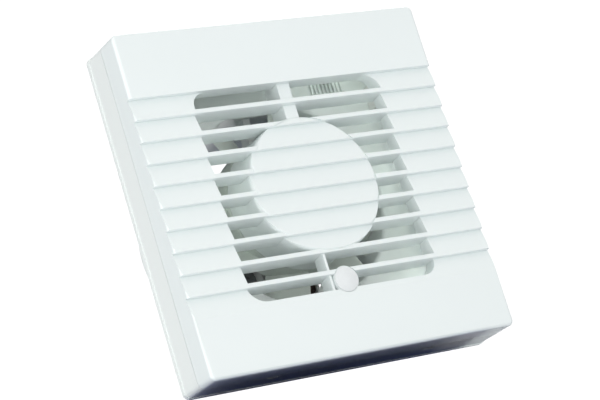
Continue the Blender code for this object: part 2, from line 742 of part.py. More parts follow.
def screw(name, place, head_radius, head_height, shank_radius, shank_length, turn=0.0, flip=False):
    """A screw with its driver slot, head towards -Y, or towards +Y when flipped."""
    obj = link(name, screw_mesh(name, head_radius, head_height, shank_radius, shank_length))
    slot = box("slot", (-head_radius * 1.2, -head_height * 1.2, -head_radius * 0.14),
               (head_radius * 1.2, -head_height * 0.5, head_radius * 0.14))
    cutter = guide(name + "_slot", slot)
    facing = Matrix.Rotation(math.pi if flip else 0.0, 4, "Z") @ Matrix.Rotation(turn, 4, "Y")
    matrix = Matrix.Translation(place) @ facing
    obj.matrix_world = matrix
    cutter.matrix_world = matrix
    cut(obj, cutter)
    return finish(obj, STEEL, 0.35, 1.0)


def clamp_screws():
    front = CLAMP_FRONT - FIT_GAP
    for i, side in enumerate((-1, 1)):
        screw(f"cable_clamp_screw_{i + 1}", (CLAMP_X, front, clamp_screw_z(side)), 0.0024, 0.0014,
              0.0011, 0.0076, turn=0.5 + i)


def terminal_block():
    front = block_front()
    low, high = BLOCK_Z - BLOCK_HEIGHT / 2, BLOCK_Z + BLOCK_HEIGHT / 2
    half = block_length() / 2
    block = link("terminal_block", bevelled_box("terminal_block", (BLOCK_X - half, front, low),
                                                (BLOCK_X + half, front + BLOCK_DEPTH, high), 0.0008))
    rear = front + BLOCK_DEPTH
    foot = rounded_box("foot", (BLOCK_X - 0.0040, rear - 0.0020, high - 0.0010),
                       (BLOCK_X + 0.0040, rear, high + BLOCK_FOOT), 0.0009)
    add(block, guide("block_foot", foot))
    middle = front + BLOCK_DEPTH * 0.56
    wells, entries, grooves = [], [], []
    for i in range(BLOCK_POLES):
        wells.append(drum("well", 0.0021, front - 0.002, middle, x=pole_x(i), z=BLOCK_Z, steps=16))
        entry = drum("entry", INSERT_RADIUS + FIT_GAP, -BLOCK_HEIGHT, BLOCK_HEIGHT, steps=20)
        entry.transform(Matrix.Translation((pole_x(i), middle, BLOCK_Z))
                        @ Matrix.Rotation(math.radians(90), 4, "X"))
        entries.append(entry)
    for i in range(1, BLOCK_POLES):
        x = (pole_x(i - 1) + pole_x(i)) / 2
        grooves.append(box("groove", (x - 0.0004, front - 0.001, low - 0.001),
                           (x + 0.0004, front + 0.0016, high + 0.001)))
    screw_way = drum("screw_way", 0.0014, rear - 0.004, rear + 0.001, x=BLOCK_X, z=block_screw_z(), steps=16)
    cut(block, guide("block_wells", join_meshes("block_wells", wells + grooves + [screw_way])),
        guide("block_entries", join_meshes("block_entries", entries)))
    screw("terminal_block_screw", (BLOCK_X, rear - 0.0020 - FIT_GAP, block_screw_z()), 0.0022, 0.0013,
          0.0011, 0.0060, turn=1.1)
    return finish(block, WHITE, 0.4)


def block_front():
    return PLATE_FRONT - FIT_GAP - BLOCK_DEPTH


def pole_x(i):
    return BLOCK_X + (i - (BLOCK_POLES - 1) / 2) * BLOCK_PITCH


def terminal_hardware():
    """Brass inserts that the wires enter, and the screws that hold them."""
    front = block_front()
    middle = front + BLOCK_DEPTH * 0.56
    half = BLOCK_HEIGHT / 2 - 0.0010
    seat = 0.0014
    for i in range(BLOCK_POLES):
        profile = ring_profile(INSERT_RADIUS - 0.0003, INSERT_RADIUS, -half, half)
        insert = turned(f"terminal_insert_{i + 1}", profile, 14)
        insert.rotation_euler = (0, 0, 0)
        insert.location = (pole_x(i), middle, BLOCK_Z)
        finish(insert, BRASS, 0.3, 1.0)
        screw(f"terminal_screw_{i + 1}", (pole_x(i), front + seat, BLOCK_Z), 0.0018, 0.0010,
              0.0010, middle - INSERT_RADIUS - FIT_GAP - front - seat, turn=0.7 * i)


def neon_lamp():
    front = NEON_FRONT
    rear = front + 0.0100
    profile = [(0.0, rear), (NEON_RADIUS, rear)]
    for i in range(5):
        angle = math.radians(90 * i / 4)
        profile.append((NEON_RADIUS * math.cos(angle), front + NEON_RADIUS * (1 - math.sin(angle))))
    lamp = turned("neon_lamp", profile, 20, place=(0, 0, LENS_Z))
    return finish(lamp, (0.80, 0.45, 0.30), 0.1)


def neon_holder():
    """A small bracket on the back plate that holds the lamp behind the lens."""
    foot_front = PLATE_FRONT - 0.0016 - FIT_GAP - 0.0020
    foot_rear = PLATE_FRONT - 0.0016 - FIT_GAP
    foot_z = neon_foot_z()
    stem_top = LENS_Z - NEON_RADIUS - 0.0036
    cradle_front = NEON_FRONT + 0.0034
    cradle_rear = cradle_front + 0.0046
    outer = NEON_RADIUS + FIT_GAP + 0.0014
    loop = [(foot_rear, foot_z - 0.0040), (foot_front, foot_z - 0.0040), (foot_front, stem_top - 0.0020),
            (cradle_front, stem_top - 0.0008), (cradle_front, LENS_Z - outer + 0.0009),
            (cradle_rear, LENS_Z - outer + 0.0009), (cradle_rear, stem_top),
            (foot_rear, stem_top)]
    holder = link("neon_holder", side_outline("neon_holder", loop, -0.0030, 0.0030))
    cradle = guide("cradle", drum("cradle", outer, cradle_front, cradle_rear, z=LENS_Z, steps=24))
    bore = guide("cradle_bore", drum("cradle_bore", NEON_RADIUS + FIT_GAP, cradle_front - 0.001,
                                     cradle_rear + 0.001, z=LENS_Z, steps=20))
    hole = guide("holder_hole", drum("holder_hole", 0.0015, foot_front - 0.002, foot_rear + 0.001,
                                     z=foot_z, steps=16))
    add(holder, cradle)
    cut(holder, bore, hole)
    screw("neon_holder_screw", (0, foot_front - FIT_GAP, foot_z), 0.0022, 0.0012, 0.0011, 0.0062, 0.4)
    return finish(holder, WHITE, 0.4)


def leads():
    """Motor and lamp leads, each along its own route to the terminal block."""
    near_plate = PLATE_FRONT - 0.0026
    outside = SPIGOT_RADIUS + 0.0042
    entry_y = block_front() + BLOCK_DEPTH * 0.56
    pole_end = BLOCK_Z - BLOCK_HEIGHT / 2 + 0.0030
    coil_z = -CORE_LEG_TOP - CORE_LEG / 2
    for i in range(2):
        side = 2 * i - 1
        aside = side * (LEAD_RADIUS + 0.0003)
        in_duct = along_lead_angle(BORE_RADIUS - 0.0070, aside)
        in_wall = along_lead_angle(SPIGOT_RADIUS + 0.0006, aside)
        behind = along_lead_angle(outside, aside)
        ahead = along_lead_angle(outside + 0.0014, aside)
        outer = 1 - i
        pole = pole_x(outer) - 0.00065
        route = [
            (WINDOW_WIDTH / 2 + 0.0012 + 0.0016 * i, coil_rear() - 0.0010, coil_z - 0.0040),
            (WINDOW_WIDTH / 2 + 0.0018 + 0.0016 * i, lead_exit_y() + 0.0004, coil_z - 0.0068),
            (in_duct[0], lead_exit_y(), in_duct[1]),
            (in_wall[0], lead_exit_y() - 0.0002, in_wall[1]),
            (behind[0], lead_exit_y() - 0.0056, behind[1]),
            (behind[0], 0.0120, behind[1]),
            (behind[0], -0.0010, behind[1]),
            (ahead[0] + 0.0004, near_plate - 0.0006, ahead[1]),
            (0.0330, near_plate - 0.0012, -0.0578 - 0.0030 * outer),
            (0.0460, near_plate - 0.0012, -0.0588 - 0.0030 * outer),
            (0.0580 + 0.0028 * outer, near_plate - 0.0012, -0.0500 - 0.0012 * outer),
            (0.0612 + 0.0040 * outer, near_plate - 0.0012, -0.0300),
            (0.0612 + 0.0040 * outer, near_plate - 0.0012, 0.0180),
            (pole, entry_y, BLOCK_Z - BLOCK_HEIGHT / 2 - 0.0050),
            (pole, entry_y, pole_end),
        ]
        finish(wire(f"motor_lead_{i + 1}", route, LEAD_RADIUS), LEAD_COLOURS[i], 0.5)
    lamp_rear = NEON_FRONT + 0.0100 + FIT_GAP
    layer = near_plate - 0.0042
    for i in range(2):
        side = 2 * i - 1
        aside = side * (NEON_LEAD_RADIUS + 0.0003)
        outer = 1 - i
        pole = pole_x(outer) + 0.0008
        route = [
            (aside, lamp_rear, LENS_Z),
            (aside * 1.1 + 0.0006, lamp_rear + 0.0016, LENS_Z),
            (0.0052 + aside, lamp_rear + 0.0010, LENS_Z - 0.0040 + 0.0008 * side),
            (0.0200, layer, -0.0570 - 0.0022 * outer),
            (0.0460, layer, -0.0570 - 0.0022 * outer),
            (0.0590 + 0.0024 * outer, layer, -0.0490 - 0.0008 * outer),
            (0.0622 + 0.0040 * outer, layer, -0.0300),
            (0.0622 + 0.0040 * outer, layer, 0.0180),
            (pole, entry_y, BLOCK_Z - BLOCK_HEIGHT / 2 - 0.0050),
            (pole, entry_y, pole_end),
        ]
        finish(wire(f"neon_lead_{i + 1}", route, NEON_LEAD_RADIUS), (0.80, 0.80, 0.78), 0.5)


# Impeller

def blade_point(radius, share):
    """A point on the blade's mean surface: share 0 is its front edge, 1 its rear edge."""
    outward = (radius - HUB_RADIUS) / (BLADE_TIP - HUB_RADIUS)
    sweep = BLADE_SWEEP + (BLADE_TIP_SWEEP - BLADE_SWEEP) * outward
    camber = math.sin(math.pi * share) * 0.10
    angle = math.radians(BLADE_MIDDLE + sweep * (0.5 - share - camber))
    y = BLADE_FRONT + BLADE_LENGTH * share
    return Vector((radius * math.cos(angle), y, radius * math.sin(angle)))


def blade_mesh(index):
    """One twisted blade: a grid bent to the blade's surface, thickened on both sides."""
    rows, columns = 3, 5
    bm = bmesh.new()
    bmesh.ops.create_grid(bm, x_segments=rows, y_segments=columns, size=0.5)
    root = HUB_RADIUS - HUB_WALL * 0.6
    for vert in bm.verts:
        radius = root + (BLADE_TIP - root) * (vert.co.x + 0.5)
        vert.co = blade_point(radius, vert.co.y + 0.5)
    bmesh.ops.recalc_face_normals(bm, faces=bm.faces)
    bmesh.ops.solidify(bm, geom=bm.faces, thickness=BLADE_WALL)
    turn = Matrix.Rotation(math.radians(-360 * index / BLADE_COUNT), 4, "Y")
    bmesh.ops.transform(bm, matrix=turn, verts=bm.verts)
    return mesh_of(bm, "blade")


def impeller():
    boss = 0.0046
    bore = SHAFT_RADIUS + SHAFT_PLAY
    face = HUB_FRONT + 0.0018
    inner = HUB_RADIUS - HUB_WALL
    profile = [(HUB_RADIUS, HUB_REAR), (HUB_RADIUS, HUB_FRONT + 0.0012),
               (HUB_RADIUS - 0.0012, HUB_FRONT), (bore, HUB_FRONT), (bore, HUB_REAR - 0.004),
               (boss, HUB_REAR - 0.004), (boss, face), (inner, face), (inner, HUB_REAR)]
    hub = turned("impeller", profile, 56)
    blades = join_meshes("blades", [blade_mesh(i) for i in range(BLADE_COUNT)])
    add(hub, guide("blades", blades))
    return finish(hub, SHADE, 0.4)


def impeller_clip():
    front = HUB_FRONT - FIT_GAP - 0.0009
    profile = ring_profile(SHAFT_RADIUS + FIT_GAP, 0.0042, front, HUB_FRONT - FIT_GAP)
    return finish(turned("impeller_clip", profile, 24), STEEL, 0.3, 1.0)


def motor_shaft():
    front = HUB_FRONT - 0.0016
    rear = MOTOR_REAR + 0.0008
    edge = 0.0003
    profile = [(0.0, rear), (SHAFT_RADIUS - edge, rear), (SHAFT_RADIUS, rear - edge),
               (SHAFT_RADIUS, front + edge), (SHAFT_RADIUS - edge, front), (0.0, front)]
    return finish(turned("motor_shaft", profile, 20), STEEL, 0.2, 1.0)


def rotor():
    """The squirrel cage: laminations between two end rings."""
    ring = 0.0016
    front, rear = CORE_FRONT + FIT_GAP, CORE_REAR - FIT_GAP
    step = ROTOR_RADIUS - 0.0008
    bore = SHAFT_RADIUS + FIT_GAP
    profile = [(step, rear + ring), (step, rear), (ROTOR_RADIUS, rear), (ROTOR_RADIUS, front),
               (step, front), (step, front - ring), (step - 0.003, front - ring),
               (step - 0.003, front - 0.0004), (bore, front - 0.0004), (bore, rear + 0.0004),
               (step - 0.003, rear + 0.0004), (step - 0.003, rear + ring)]
    return finish(turned("rotor", profile, 28), STEEL, 0.4, 1.0)


# Motor stator

def shading_slots():
    """Centres of the two slots of each shading ring, as (x, z), for both poles."""
    inner = ROTOR_RADIUS + AIR_GAP + 0.0008
    outer = inner + 0.0048
    slots = []
    for start in (SHADING_ANGLE, SHADING_ANGLE + 180):
        near, far = math.radians(start), math.radians(start + SHADING_SPAN)
        slots.append(((inner * math.cos(near), inner * math.sin(near)),
                      (outer * math.cos(far), outer * math.sin(far))))
    return slots


def stator_core():
    half = CORE_WIDTH / 2
    outer = rounded_rectangle(-half, half, CORE_BOTTOM, CORE_TOP, 0.003, 3)
    window = rounded_rectangle(-WINDOW_WIDTH / 2, WINDOW_WIDTH / 2, -CORE_LEG_TOP, -WINDOW_TOP, 0.001, 2)
    bore = arc(0, 0, ROTOR_RADIUS + AIR_GAP, 0, 360 - 7.5, 47)
    core = link("stator_core", front_outline("stator_core", [outer, window, bore], CORE_FRONT, CORE_REAR))
    holes = [drum("screw_way", MOTOR_SCREW_RADIUS + FIT_GAP + 0.0001, CORE_FRONT - 0.001,
                  CORE_REAR + 0.001, x=x, steps=16) for x in (-SCREW_X, SCREW_X)]
    for pair in shading_slots():
        holes += [drum("shading_slot", 0.0012, CORE_FRONT - 0.001, CORE_REAR + 0.001, x=x, z=z, steps=12)
                  for x, z in pair]
    cut(core, guide("core_holes", join_meshes("core_holes", holes)))
    return finish(core, STEEL, 0.55, 1.0)


def shading_rings():
    """Copper loops round a part of each pole."""
    for i, (inner, outer) in enumerate(shading_slots()):
        y0, y1 = CORE_FRONT - 0.0013, CORE_REAR + 0.0013
        a, b = Vector((inner[0], 0, inner[1])), Vector((outer[0], 0, outer[1]))
        corners = [(a, y0), (b, y0), (b, y1), (a, y1)]
        curve = bpy.data.curves.new(f"shading_ring_{i + 1}", "CURVE")
        curve.dimensions = "3D"
        curve.bevel_depth = 0.0008
        curve.bevel_resolution = 2
        spline = curve.splines.new("POLY")
        spline.points.add(len(corners) - 1)
        for point, (place, y) in zip(spline.points, corners):
            point.co = (place.x, y, place.z, 1.0)
        spline.use_cyclic_u = True
        ring = bpy.data.objects.new(curve.name, curve)
        parts.objects.link(ring)
        finish(ring, COPPER, 0.3, 1.0)


def coil_rear():
    return CORE_REAR + COIL_BULGE


def coil_bobbin():
    """The spool round the core's lower leg: a sleeve with a flange at each end."""
    gap = FIT_GAP
    sleeve = 0.0008
    z_mid = -(CORE_LEG_TOP + CORE_LEG / 2)
    y_mid = (CORE_FRONT + CORE_REAR) / 2
    half_y = CORE_STACK / 2 + gap
    half_z = CORE_LEG / 2 + gap
    length = WINDOW_WIDTH / 2 - gap
    flange_z = CORE_LEG_TOP - WINDOW_TOP - gap
    flange_y = CORE_STACK / 2 + COIL_BULGE
    middle = box("coil_bobbin", (-length, y_mid - half_y - sleeve, z_mid - half_z - sleeve),
                 (length, y_mid + half_y + sleeve, z_mid + half_z + sleeve))
    bobbin = link("coil_bobbin", middle)
    flanges = []
    for side in (-1, 1):
        x0, x1 = sorted((side * length, side * (length - 0.0012)))
        flanges.append(box("flange", (x0, y_mid - flange_y, z_mid - CORE_LEG / 2 - flange_z),
                           (x1, y_mid + flange_y, z_mid + CORE_LEG / 2 + flange_z)))
    tunnel = box("tunnel", (-length - 0.002, y_mid - half_y, z_mid - half_z),
                 (length + 0.002, y_mid + half_y, z_mid + half_z))
    add(bobbin, guide("bobbin_flanges", join_meshes("bobbin_flanges", flanges)))
    cut(bobbin, guide("bobbin_tunnel", tunnel))
    return finish(bobbin, WHITE, 0.5)


def coil_winding():
    sleeve = 0.0008 + 2 * FIT_GAP
    z_mid = -(CORE_LEG_TOP + CORE_LEG / 2)
    y_mid = (CORE_FRONT + CORE_REAR) / 2
    inner_y = CORE_STACK / 2 + FIT_GAP + sleeve
    inner_z = CORE_LEG / 2 + FIT_GAP + sleeve
    outer_y = CORE_STACK / 2 + COIL_BULGE - 0.0008
    outer_z = CORE_LEG / 2 + CORE_LEG_TOP - WINDOW_TOP - 0.0010
    length = WINDOW_WIDTH / 2 - FIT_GAP - 0.0012 - FIT_GAP
    outer = rounded_rectangle(y_mid - outer_y, y_mid + outer_y, z_mid - outer_z, z_mid + outer_z, 0.0022, 4)
    inner = rounded_rectangle(y_mid - inner_y, y_mid + inner_y, z_mid - inner_z, z_mid + inner_z, 0.0004, 2)
    turn = Matrix(((0, 0, 1, 0), (1, 0, 0, 0), (0, 1, 0, 0), (0, 0, 0, 1)))
    winding = link("coil_winding", outline_mesh("coil_winding", [outer, inner], 2 * length, turn))
    return finish(winding, COPPER, 0.45)


def bearing_bracket(name, strip_y0, post_y0, post_y1, cup_y0, cup_y1):
    """A strip across the motor with a bearing cup in its middle and two legs to the core."""
    half = CORE_WIDTH / 2
    loop = rounded_rectangle(-half, half, -BRACKET_HEIGHT / 2, BRACKET_HEIGHT / 2, 0.003, 3)
    bracket = link(name, front_outline(name, [loop], strip_y0, strip_y0 + BRACKET_STRIP))
    legs = [drum("leg", 0.0040, post_y0, post_y1, x=x, steps=20) for x in (-SCREW_X, SCREW_X)]
    cup = drum("cup", BUSH_RADIUS + FIT_GAP + 0.0018, cup_y0, cup_y1, steps=28)
    add(bracket, guide(name + "_legs", join_meshes(name + "_legs", legs + [cup])))
    low, high = strip_y0 - 0.010, strip_y0 + 0.014
    holes = [drum("way", MOTOR_SCREW_RADIUS + FIT_GAP, low, high, x=x, steps=16)
             for x in (-SCREW_X, SCREW_X)]
    holes.append(drum("bush_way", BUSH_RADIUS + FIT_GAP, low, high, steps=28))
    cut(bracket, guide(name + "_holes", join_meshes(name + "_holes", holes)))
    return finish(bracket, STEEL, 0.5, 1.0)


def bearings():
    front_post = FRONT_STRIP_Y + BRACKET_STRIP - 0.0004
    bearing_bracket("front_bearing_bracket", FRONT_STRIP_Y, front_post, CORE_FRONT - FIT_GAP,
                    front_post, FRONT_STRIP_Y + BUSH_LENGTH)
    rear_top = REAR_STRIP_Y + 0.0004
    bearing_bracket("rear_bearing_bracket", REAR_STRIP_Y, CORE_REAR + FIT_GAP, rear_top,
                    MOTOR_REAR - BUSH_LENGTH, rear_top)
    inner = SHAFT_RADIUS + SHAFT_PLAY
    for name, y0 in (("front_bush", FRONT_STRIP_Y + 0.0002), ("rear_bush", MOTOR_REAR - BUSH_LENGTH)):
        bush = turned(name, ring_profile(inner, BUSH_RADIUS, y0, y0 + BUSH_LENGTH - 0.0002), 24)
        finish(bush, BRASS, 0.4, 1.0)
    front_end = FRONT_STRIP_Y + BUSH_LENGTH + FIT_GAP
    rear_end = MOTOR_REAR - BUSH_LENGTH - FIT_GAP
    for name, y0 in (("front_thrust_washer", front_end), ("rear_thrust_washer", rear_end - 0.0006)):
        washer = turned(name, ring_profile(SHAFT_RADIUS + FIT_GAP, 0.0034, y0, y0 + 0.0006), 20)
        finish(washer, (0.85, 0.82, 0.70), 0.5)


def motor_screws():
    head = MOTOR_REAR + FIT_GAP
    for i, x in enumerate((-SCREW_X, SCREW_X)):
        screw(f"motor_screw_{i + 1}", (x, head, 0), 0.0027, 0.0017, MOTOR_SCREW_RADIUS,
              head - MOUNT_FRONT - 0.0004, turn=0.3 + i, flip=True)


def smooth_round_pieces():
    for obj in parts.objects:
        if obj.type == "MESH":
            obj.data.shade_smooth()
            obj.data.set_sharp_from_angle(angle=math.radians(30))


def main():
    global parts, guides
    clear_scene()
    parts = new_collection("extractor_fan")
    guides = new_collection("guides")
    front_cover()
    indicator_lens()
    fan_housing()
    cable_grommet()
    cable_clamp()
    clamp_screws()
    terminal_block()
    terminal_hardware()
    neon_lamp()
    neon_holder()
    leads()
    impeller()
    impeller_clip()
    motor_shaft()
    rotor()
    stator_core()
    shading_rings()
    coil_bobbin()
    coil_winding()
    bearings()
    motor_screws()
    smooth_round_pieces()


main()
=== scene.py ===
"""Looks of the bathroom extractor fan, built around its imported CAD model.

The frame is in metres: the fan faces -Y, the duct runs along +Y, +Z is up, and the origin lies on the duct
axis in the wall's plane. Each class below owns one sub-assembly: its sizes, its meshes and its finishes.
"""

import enum
import logging
import math
from dataclasses import dataclass
from typing import Callable, Iterable, Protocol, Sequence

import bmesh
import bpy
from mathutils import Matrix, Vector


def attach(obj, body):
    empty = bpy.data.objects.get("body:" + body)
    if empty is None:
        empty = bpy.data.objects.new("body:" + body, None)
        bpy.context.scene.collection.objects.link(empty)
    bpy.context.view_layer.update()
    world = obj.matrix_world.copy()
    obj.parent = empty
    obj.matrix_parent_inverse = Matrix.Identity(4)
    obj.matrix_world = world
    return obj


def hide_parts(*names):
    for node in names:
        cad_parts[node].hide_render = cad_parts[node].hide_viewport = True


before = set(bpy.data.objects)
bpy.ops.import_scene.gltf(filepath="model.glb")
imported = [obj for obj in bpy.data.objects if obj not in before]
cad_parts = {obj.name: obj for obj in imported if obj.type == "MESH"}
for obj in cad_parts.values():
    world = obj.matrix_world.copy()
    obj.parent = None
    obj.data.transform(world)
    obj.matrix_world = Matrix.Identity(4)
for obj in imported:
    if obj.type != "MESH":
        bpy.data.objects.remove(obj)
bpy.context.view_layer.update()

log = logging.getLogger("extractor_fan")

Colour = tuple[float, float, float]
Point = tuple[float, float, float]

FRONT = -0.028
HALF = 0.079
STEP_COUNT = 10
STEP_PITCH = 0.0101
STEP_DEPTH = 0.0027
FIRST_STEP_Z = 0.0487
SAW_END_Z = FIRST_STEP_Z - STEP_COUNT * STEP_PITCH
OVERCUT = 0.004             # how far a cutter reaches past what it cuts
WELD = 2e-6                 # points nearer than this are one
DISC_STEPS = 144            # faces round the centre disc
LENS_STEPS = 64             # faces round the lens and its boss


# Shader maths


class Value:
    """A number socket, or a plain number, that Python's operators turn into Math nodes."""

    def __init__(self, graph: "Graph", source: "bpy.types.NodeSocket | float") -> None:
        """Keep the socket and the graph that its nodes belong to.

        Args:
            graph: where the nodes are added.
            source: the socket or number.
        """
        self.graph = graph
        self.source = source

    def _math(self, operation: str, first: "Value | float", second: "Value | float") -> "Value":
        """Add one Math node.

        Args:
            operation: the Math node's operation.
            first: a Value or a number.
            second: a Value or a number.

        Returns:
            The node's result.
        """
        node = self.graph.node("ShaderNodeMath", {"operation": operation}, {0: first, 1: second})
        return Value(self.graph, node.outputs[0])

    def __add__(self, other: "Value | float") -> "Value":
        """Sum."""
        return self._math("ADD", self, other)

    def __radd__(self, other: float) -> "Value":
        """Sum, reflected."""
        return self._math("ADD", other, self)

    def __sub__(self, other: "Value | float") -> "Value":
        """Difference."""
        return self._math("SUBTRACT", self, other)

    def __rsub__(self, other: float) -> "Value":
        """Difference, reflected."""
        return self._math("SUBTRACT", other, self)

    def __mul__(self, other: "Value | float") -> "Value":
        """Product."""
        return self._math("MULTIPLY", self, other)

    def __rmul__(self, other: float) -> "Value":
        """Product, reflected."""
        return self._math("MULTIPLY", other, self)

    def rise(self, low: float, high: float) -> "Value":
        """Smooth step from 0 at low to 1 at high.

        Args:
            low: where the step starts.
            high: where the step ends.

        Returns:
            The step.
        """
        node = self.graph.node(
            "ShaderNodeMapRange",
            {"interpolation_type": "SMOOTHSTEP"},
            {"Value": self, "From Min": low, "From Max": high},
        )
        return Value(self.graph, node.outputs["Result"])


class Graph:
    """A node tree under construction, with one method that adds any node."""

    def __init__(self, owner: "bpy.types.Material | bpy.types.World") -> None:
        """Turn on the owner's nodes.

        Args:
            owner: the material or world that the nodes are for.
        """
        owner.use_nodes = True
        self.owner = owner
        self.tree = owner.node_tree

    def node(self, kind: str, settings: dict | None = None, inputs: dict | None = None) -> bpy.types.Node:
        """Add a node of any kind.

        Args:
            kind: the node's type name.
            settings: properties to set first.
            inputs: values or links of its sockets, by name or number.

        Returns:
            The node.
        """
        node = self.tree.nodes.new(kind)
        for key, value in (settings or {}).items():
            setattr(node, key, value)
        for key, value in (inputs or {}).items():
            self.feed(node.inputs[key], value)
        return node

    def feed(self, socket: bpy.types.NodeSocket, value: object) -> None:
        """Link a socket or set its value.

        Args:
            socket: the input socket.
            value: a Value, a socket, a number or a sequence of numbers.
        """
        source = value.source if isinstance(value, Value) else value
        if isinstance(source, bpy.types.NodeSocket):
            self.tree.links.new(source, socket)
        elif isinstance(source, tuple) and len(source) == 3 and socket.type == "RGBA":
            socket.default_value = (*source, 1.0)
        else:
            socket.default_value = source

    def blend(self, factor: "Value | float", first: object, second: object) -> bpy.types.NodeSocket:
        """Mix two colours.

        Args:
            factor: 0 gives the first colour, 1 the second.
            first: a colour or its socket.
            second: a colour or its socket.

        Returns:
            The mixed colour.
        """
        node = self.node("ShaderNodeMix", {"data_type": "RGBA"}, {"Factor": factor, 6: first, 7: second})
        return node.outputs[2]


class Surface(Graph):
    """A material under construction, whose patterns lie on the piece's own coordinates."""

    def __init__(self, name: str) -> None:
        """Make a material that holds a Principled shader.

        Args:
            name: the material's name.
        """
        super().__init__(bpy.data.materials.new(name))
        self.shader = self.tree.nodes["Principled BSDF"]

    def place(self, stretch: Point = (1.0, 1.0, 1.0), turn: Point = (0.0, 0.0, 0.0)) -> bpy.types.NodeSocket:
        """Object coordinates in millimetres.

        Args:
            stretch: extra scale along each axis.
            turn: rotation in radians.

        Returns:
            The coordinate vector.
        """
        coordinates = self.node("ShaderNodeTexCoord")
        scale = tuple(1000.0 * s for s in stretch)
        mapping = self.node(
            "ShaderNodeMapping",
            {"vector_type": "POINT"},
            {"Vector": coordinates.outputs["Object"], "Rotation": turn, "Scale": scale},
        )
        return mapping.outputs[0]

    def noise(self, size: float, detail: float = 2.0, rough: float = 0.5, **where: Point) -> Value:
        """Soft noise.

        Args:
            size: size of a blotch in millimetres.
            detail: octaves.
            rough: strength of the finer octaves.
            where: stretch and turn, as for place.

        Returns:
            The noise, from 0 to 1.
        """
        node = self.node(
            "ShaderNodeTexNoise",
            {"noise_dimensions": "3D"},
            {"Vector": self.place(**where), "Scale": 1.0 / size, "Detail": detail, "Roughness": rough},
        )
        return Value(self, node.outputs["Fac"])

    def bands(self, pitch: float, direction: str, distortion: float = 0.0, **where: Point) -> Value:
        """Sine bands across one axis.

        Args:
            pitch: distance between bands in millimetres.
            direction: X, Y or Z.
            distortion: how far noise bends the bands.
            where: stretch and turn, as for place.

        Returns:
            The bands, from 0 to 1.
        """
        node = self.node(
            "ShaderNodeTexWave",
            {"wave_type": "BANDS", "bands_direction": direction, "wave_profile": "SIN"},
            {
                "Vector": self.place(**where),
                "Scale": math.pi / (10.0 * pitch),
                "Distortion": distortion,
                "Detail": 1.0,
                "Detail Scale": 0.6,
            },
        )
        return Value(self, node.outputs["Fac"])

    def height(self, axis: int) -> Value:
        """One component of the place, in millimetres.

        Args:
            axis: 0, 1 or 2.

        Returns:
            The component.
        """
        node = self.node("ShaderNodeSeparateXYZ", {}, {0: self.place()})
        return Value(self, node.outputs[axis])

    def edges(self) -> Value:
        """How convex the surface is.

        Returns:
            0.5 where it is flat and more along an outer edge.
        """
        return Value(self, self.node("ShaderNodeNewGeometry").outputs["Pointiness"])

    def bump(self, *layers: tuple[Value, float]) -> None:
        """Feed the shader's normal with stacked bumps.

        Args:
            layers: pairs of a pattern and its depth in millimetres.
        """
        normal = None
        for pattern, depth in layers:
            inputs = {"Strength": 1.0, "Distance": depth / 1000.0, "Height": pattern}
            if normal is not None:
                inputs["Normal"] = normal
            normal = self.node("ShaderNodeBump", {}, inputs).outputs[0]
        self.feed(self.shader.inputs["Normal"], normal)

    def set(self, **sockets: object) -> bpy.types.Material:
        """Set the shader's sockets.

        Args:
            sockets: values by socket name, with underscores for spaces.

        Returns:
            The material.
        """
        for name, value in sockets.items():
            self.feed(self.shader.inputs[name.replace("_", " ")], value)
        return self.owner


# Finishes


class Finish(Protocol):
    """Anything that can dress a piece."""

    def dress(self, name: str) -> bpy.types.Material:
        """Build the material.

        Args:
            name: the material's name.

        Returns:
            The material.
        """


class Texture(enum.Enum):
    """How a mould was finished, as the depth of its grain in millimetres."""

    POLISHED = 0.0006
    SATIN = 0.0022


@dataclass(frozen=True)
class MouldedPlastic:
    """Injection-moulded plastic: a fine mould texture, flow marks and a painted highlight on outer edges."""

    colour: Colour
    shade: Colour
    roughness: float
    texture: Texture = Texture.SATIN
    ripple_depth: float = 0.030
    # how far the painted edge highlight lightens the colour
    edge_highlight_gain: float = 1.03

    def dress(self, name: str) -> bpy.types.Material:
        """Build the material.

        Args:
            name: the material's name.

        Returns:
            The material.
        """
        surface = Surface(name)
        cloud = surface.noise(26.0, 3.0)
        flow = surface.noise(4.0, 2.0, stretch=(1.0, 1.0, 0.25))
        # painted highlight: convex edges, found by pointiness, are lightened towards a brighter white
        painted_highlight = surface.edges().rise(0.52, 0.60)
        tone = surface.blend(cloud * 0.6 + flow * 0.25, self.colour, self.shade)
        light = tuple(min(1.0, c * self.edge_highlight_gain) for c in self.colour)
        tone = surface.blend(painted_highlight * 0.5, tone, light)
        grain = surface.noise(0.34, 2.0, 0.6)
        ripple = surface.noise(7.0, 1.0)
        surface.bump((ripple, self.ripple_depth), (grain, self.texture.value))
        rough = self.roughness + (cloud - 0.5) * 0.10 + (grain - 0.5) * 0.10
        return surface.set(Base_Color=tone, Roughness=rough, IOR=1.5, Specular_IOR_Level=0.5)


@dataclass(frozen=True)
class Metal:
    """Bare or plated metal with brushed scratches and a little staining."""

    colour: Colour
    stain: Colour
    roughness: float
    brush: Point = (1.0, 0.06, 1.0)

    def dress(self, name: str) -> bpy.types.Material:
        """Build the material.

        Args:
            name: the material's name.

        Returns:
            The material.
        """
        surface = Surface(name)
        scratches = surface.noise(0.16, 3.0, 0.6, stretch=self.brush)
        stains = surface.noise(3.0, 4.0, 0.6)
        tone = surface.blend(stains.rise(0.45, 0.75) * 0.7, self.colour, self.stain)
        rough = self.roughness + (scratches - 0.5) * 0.25 + stains.rise(0.5, 0.8) * 0.15
        surface.bump((scratches, 0.004))
        return surface.set(Base_Color=tone, Roughness=rough, Metallic=1.0)


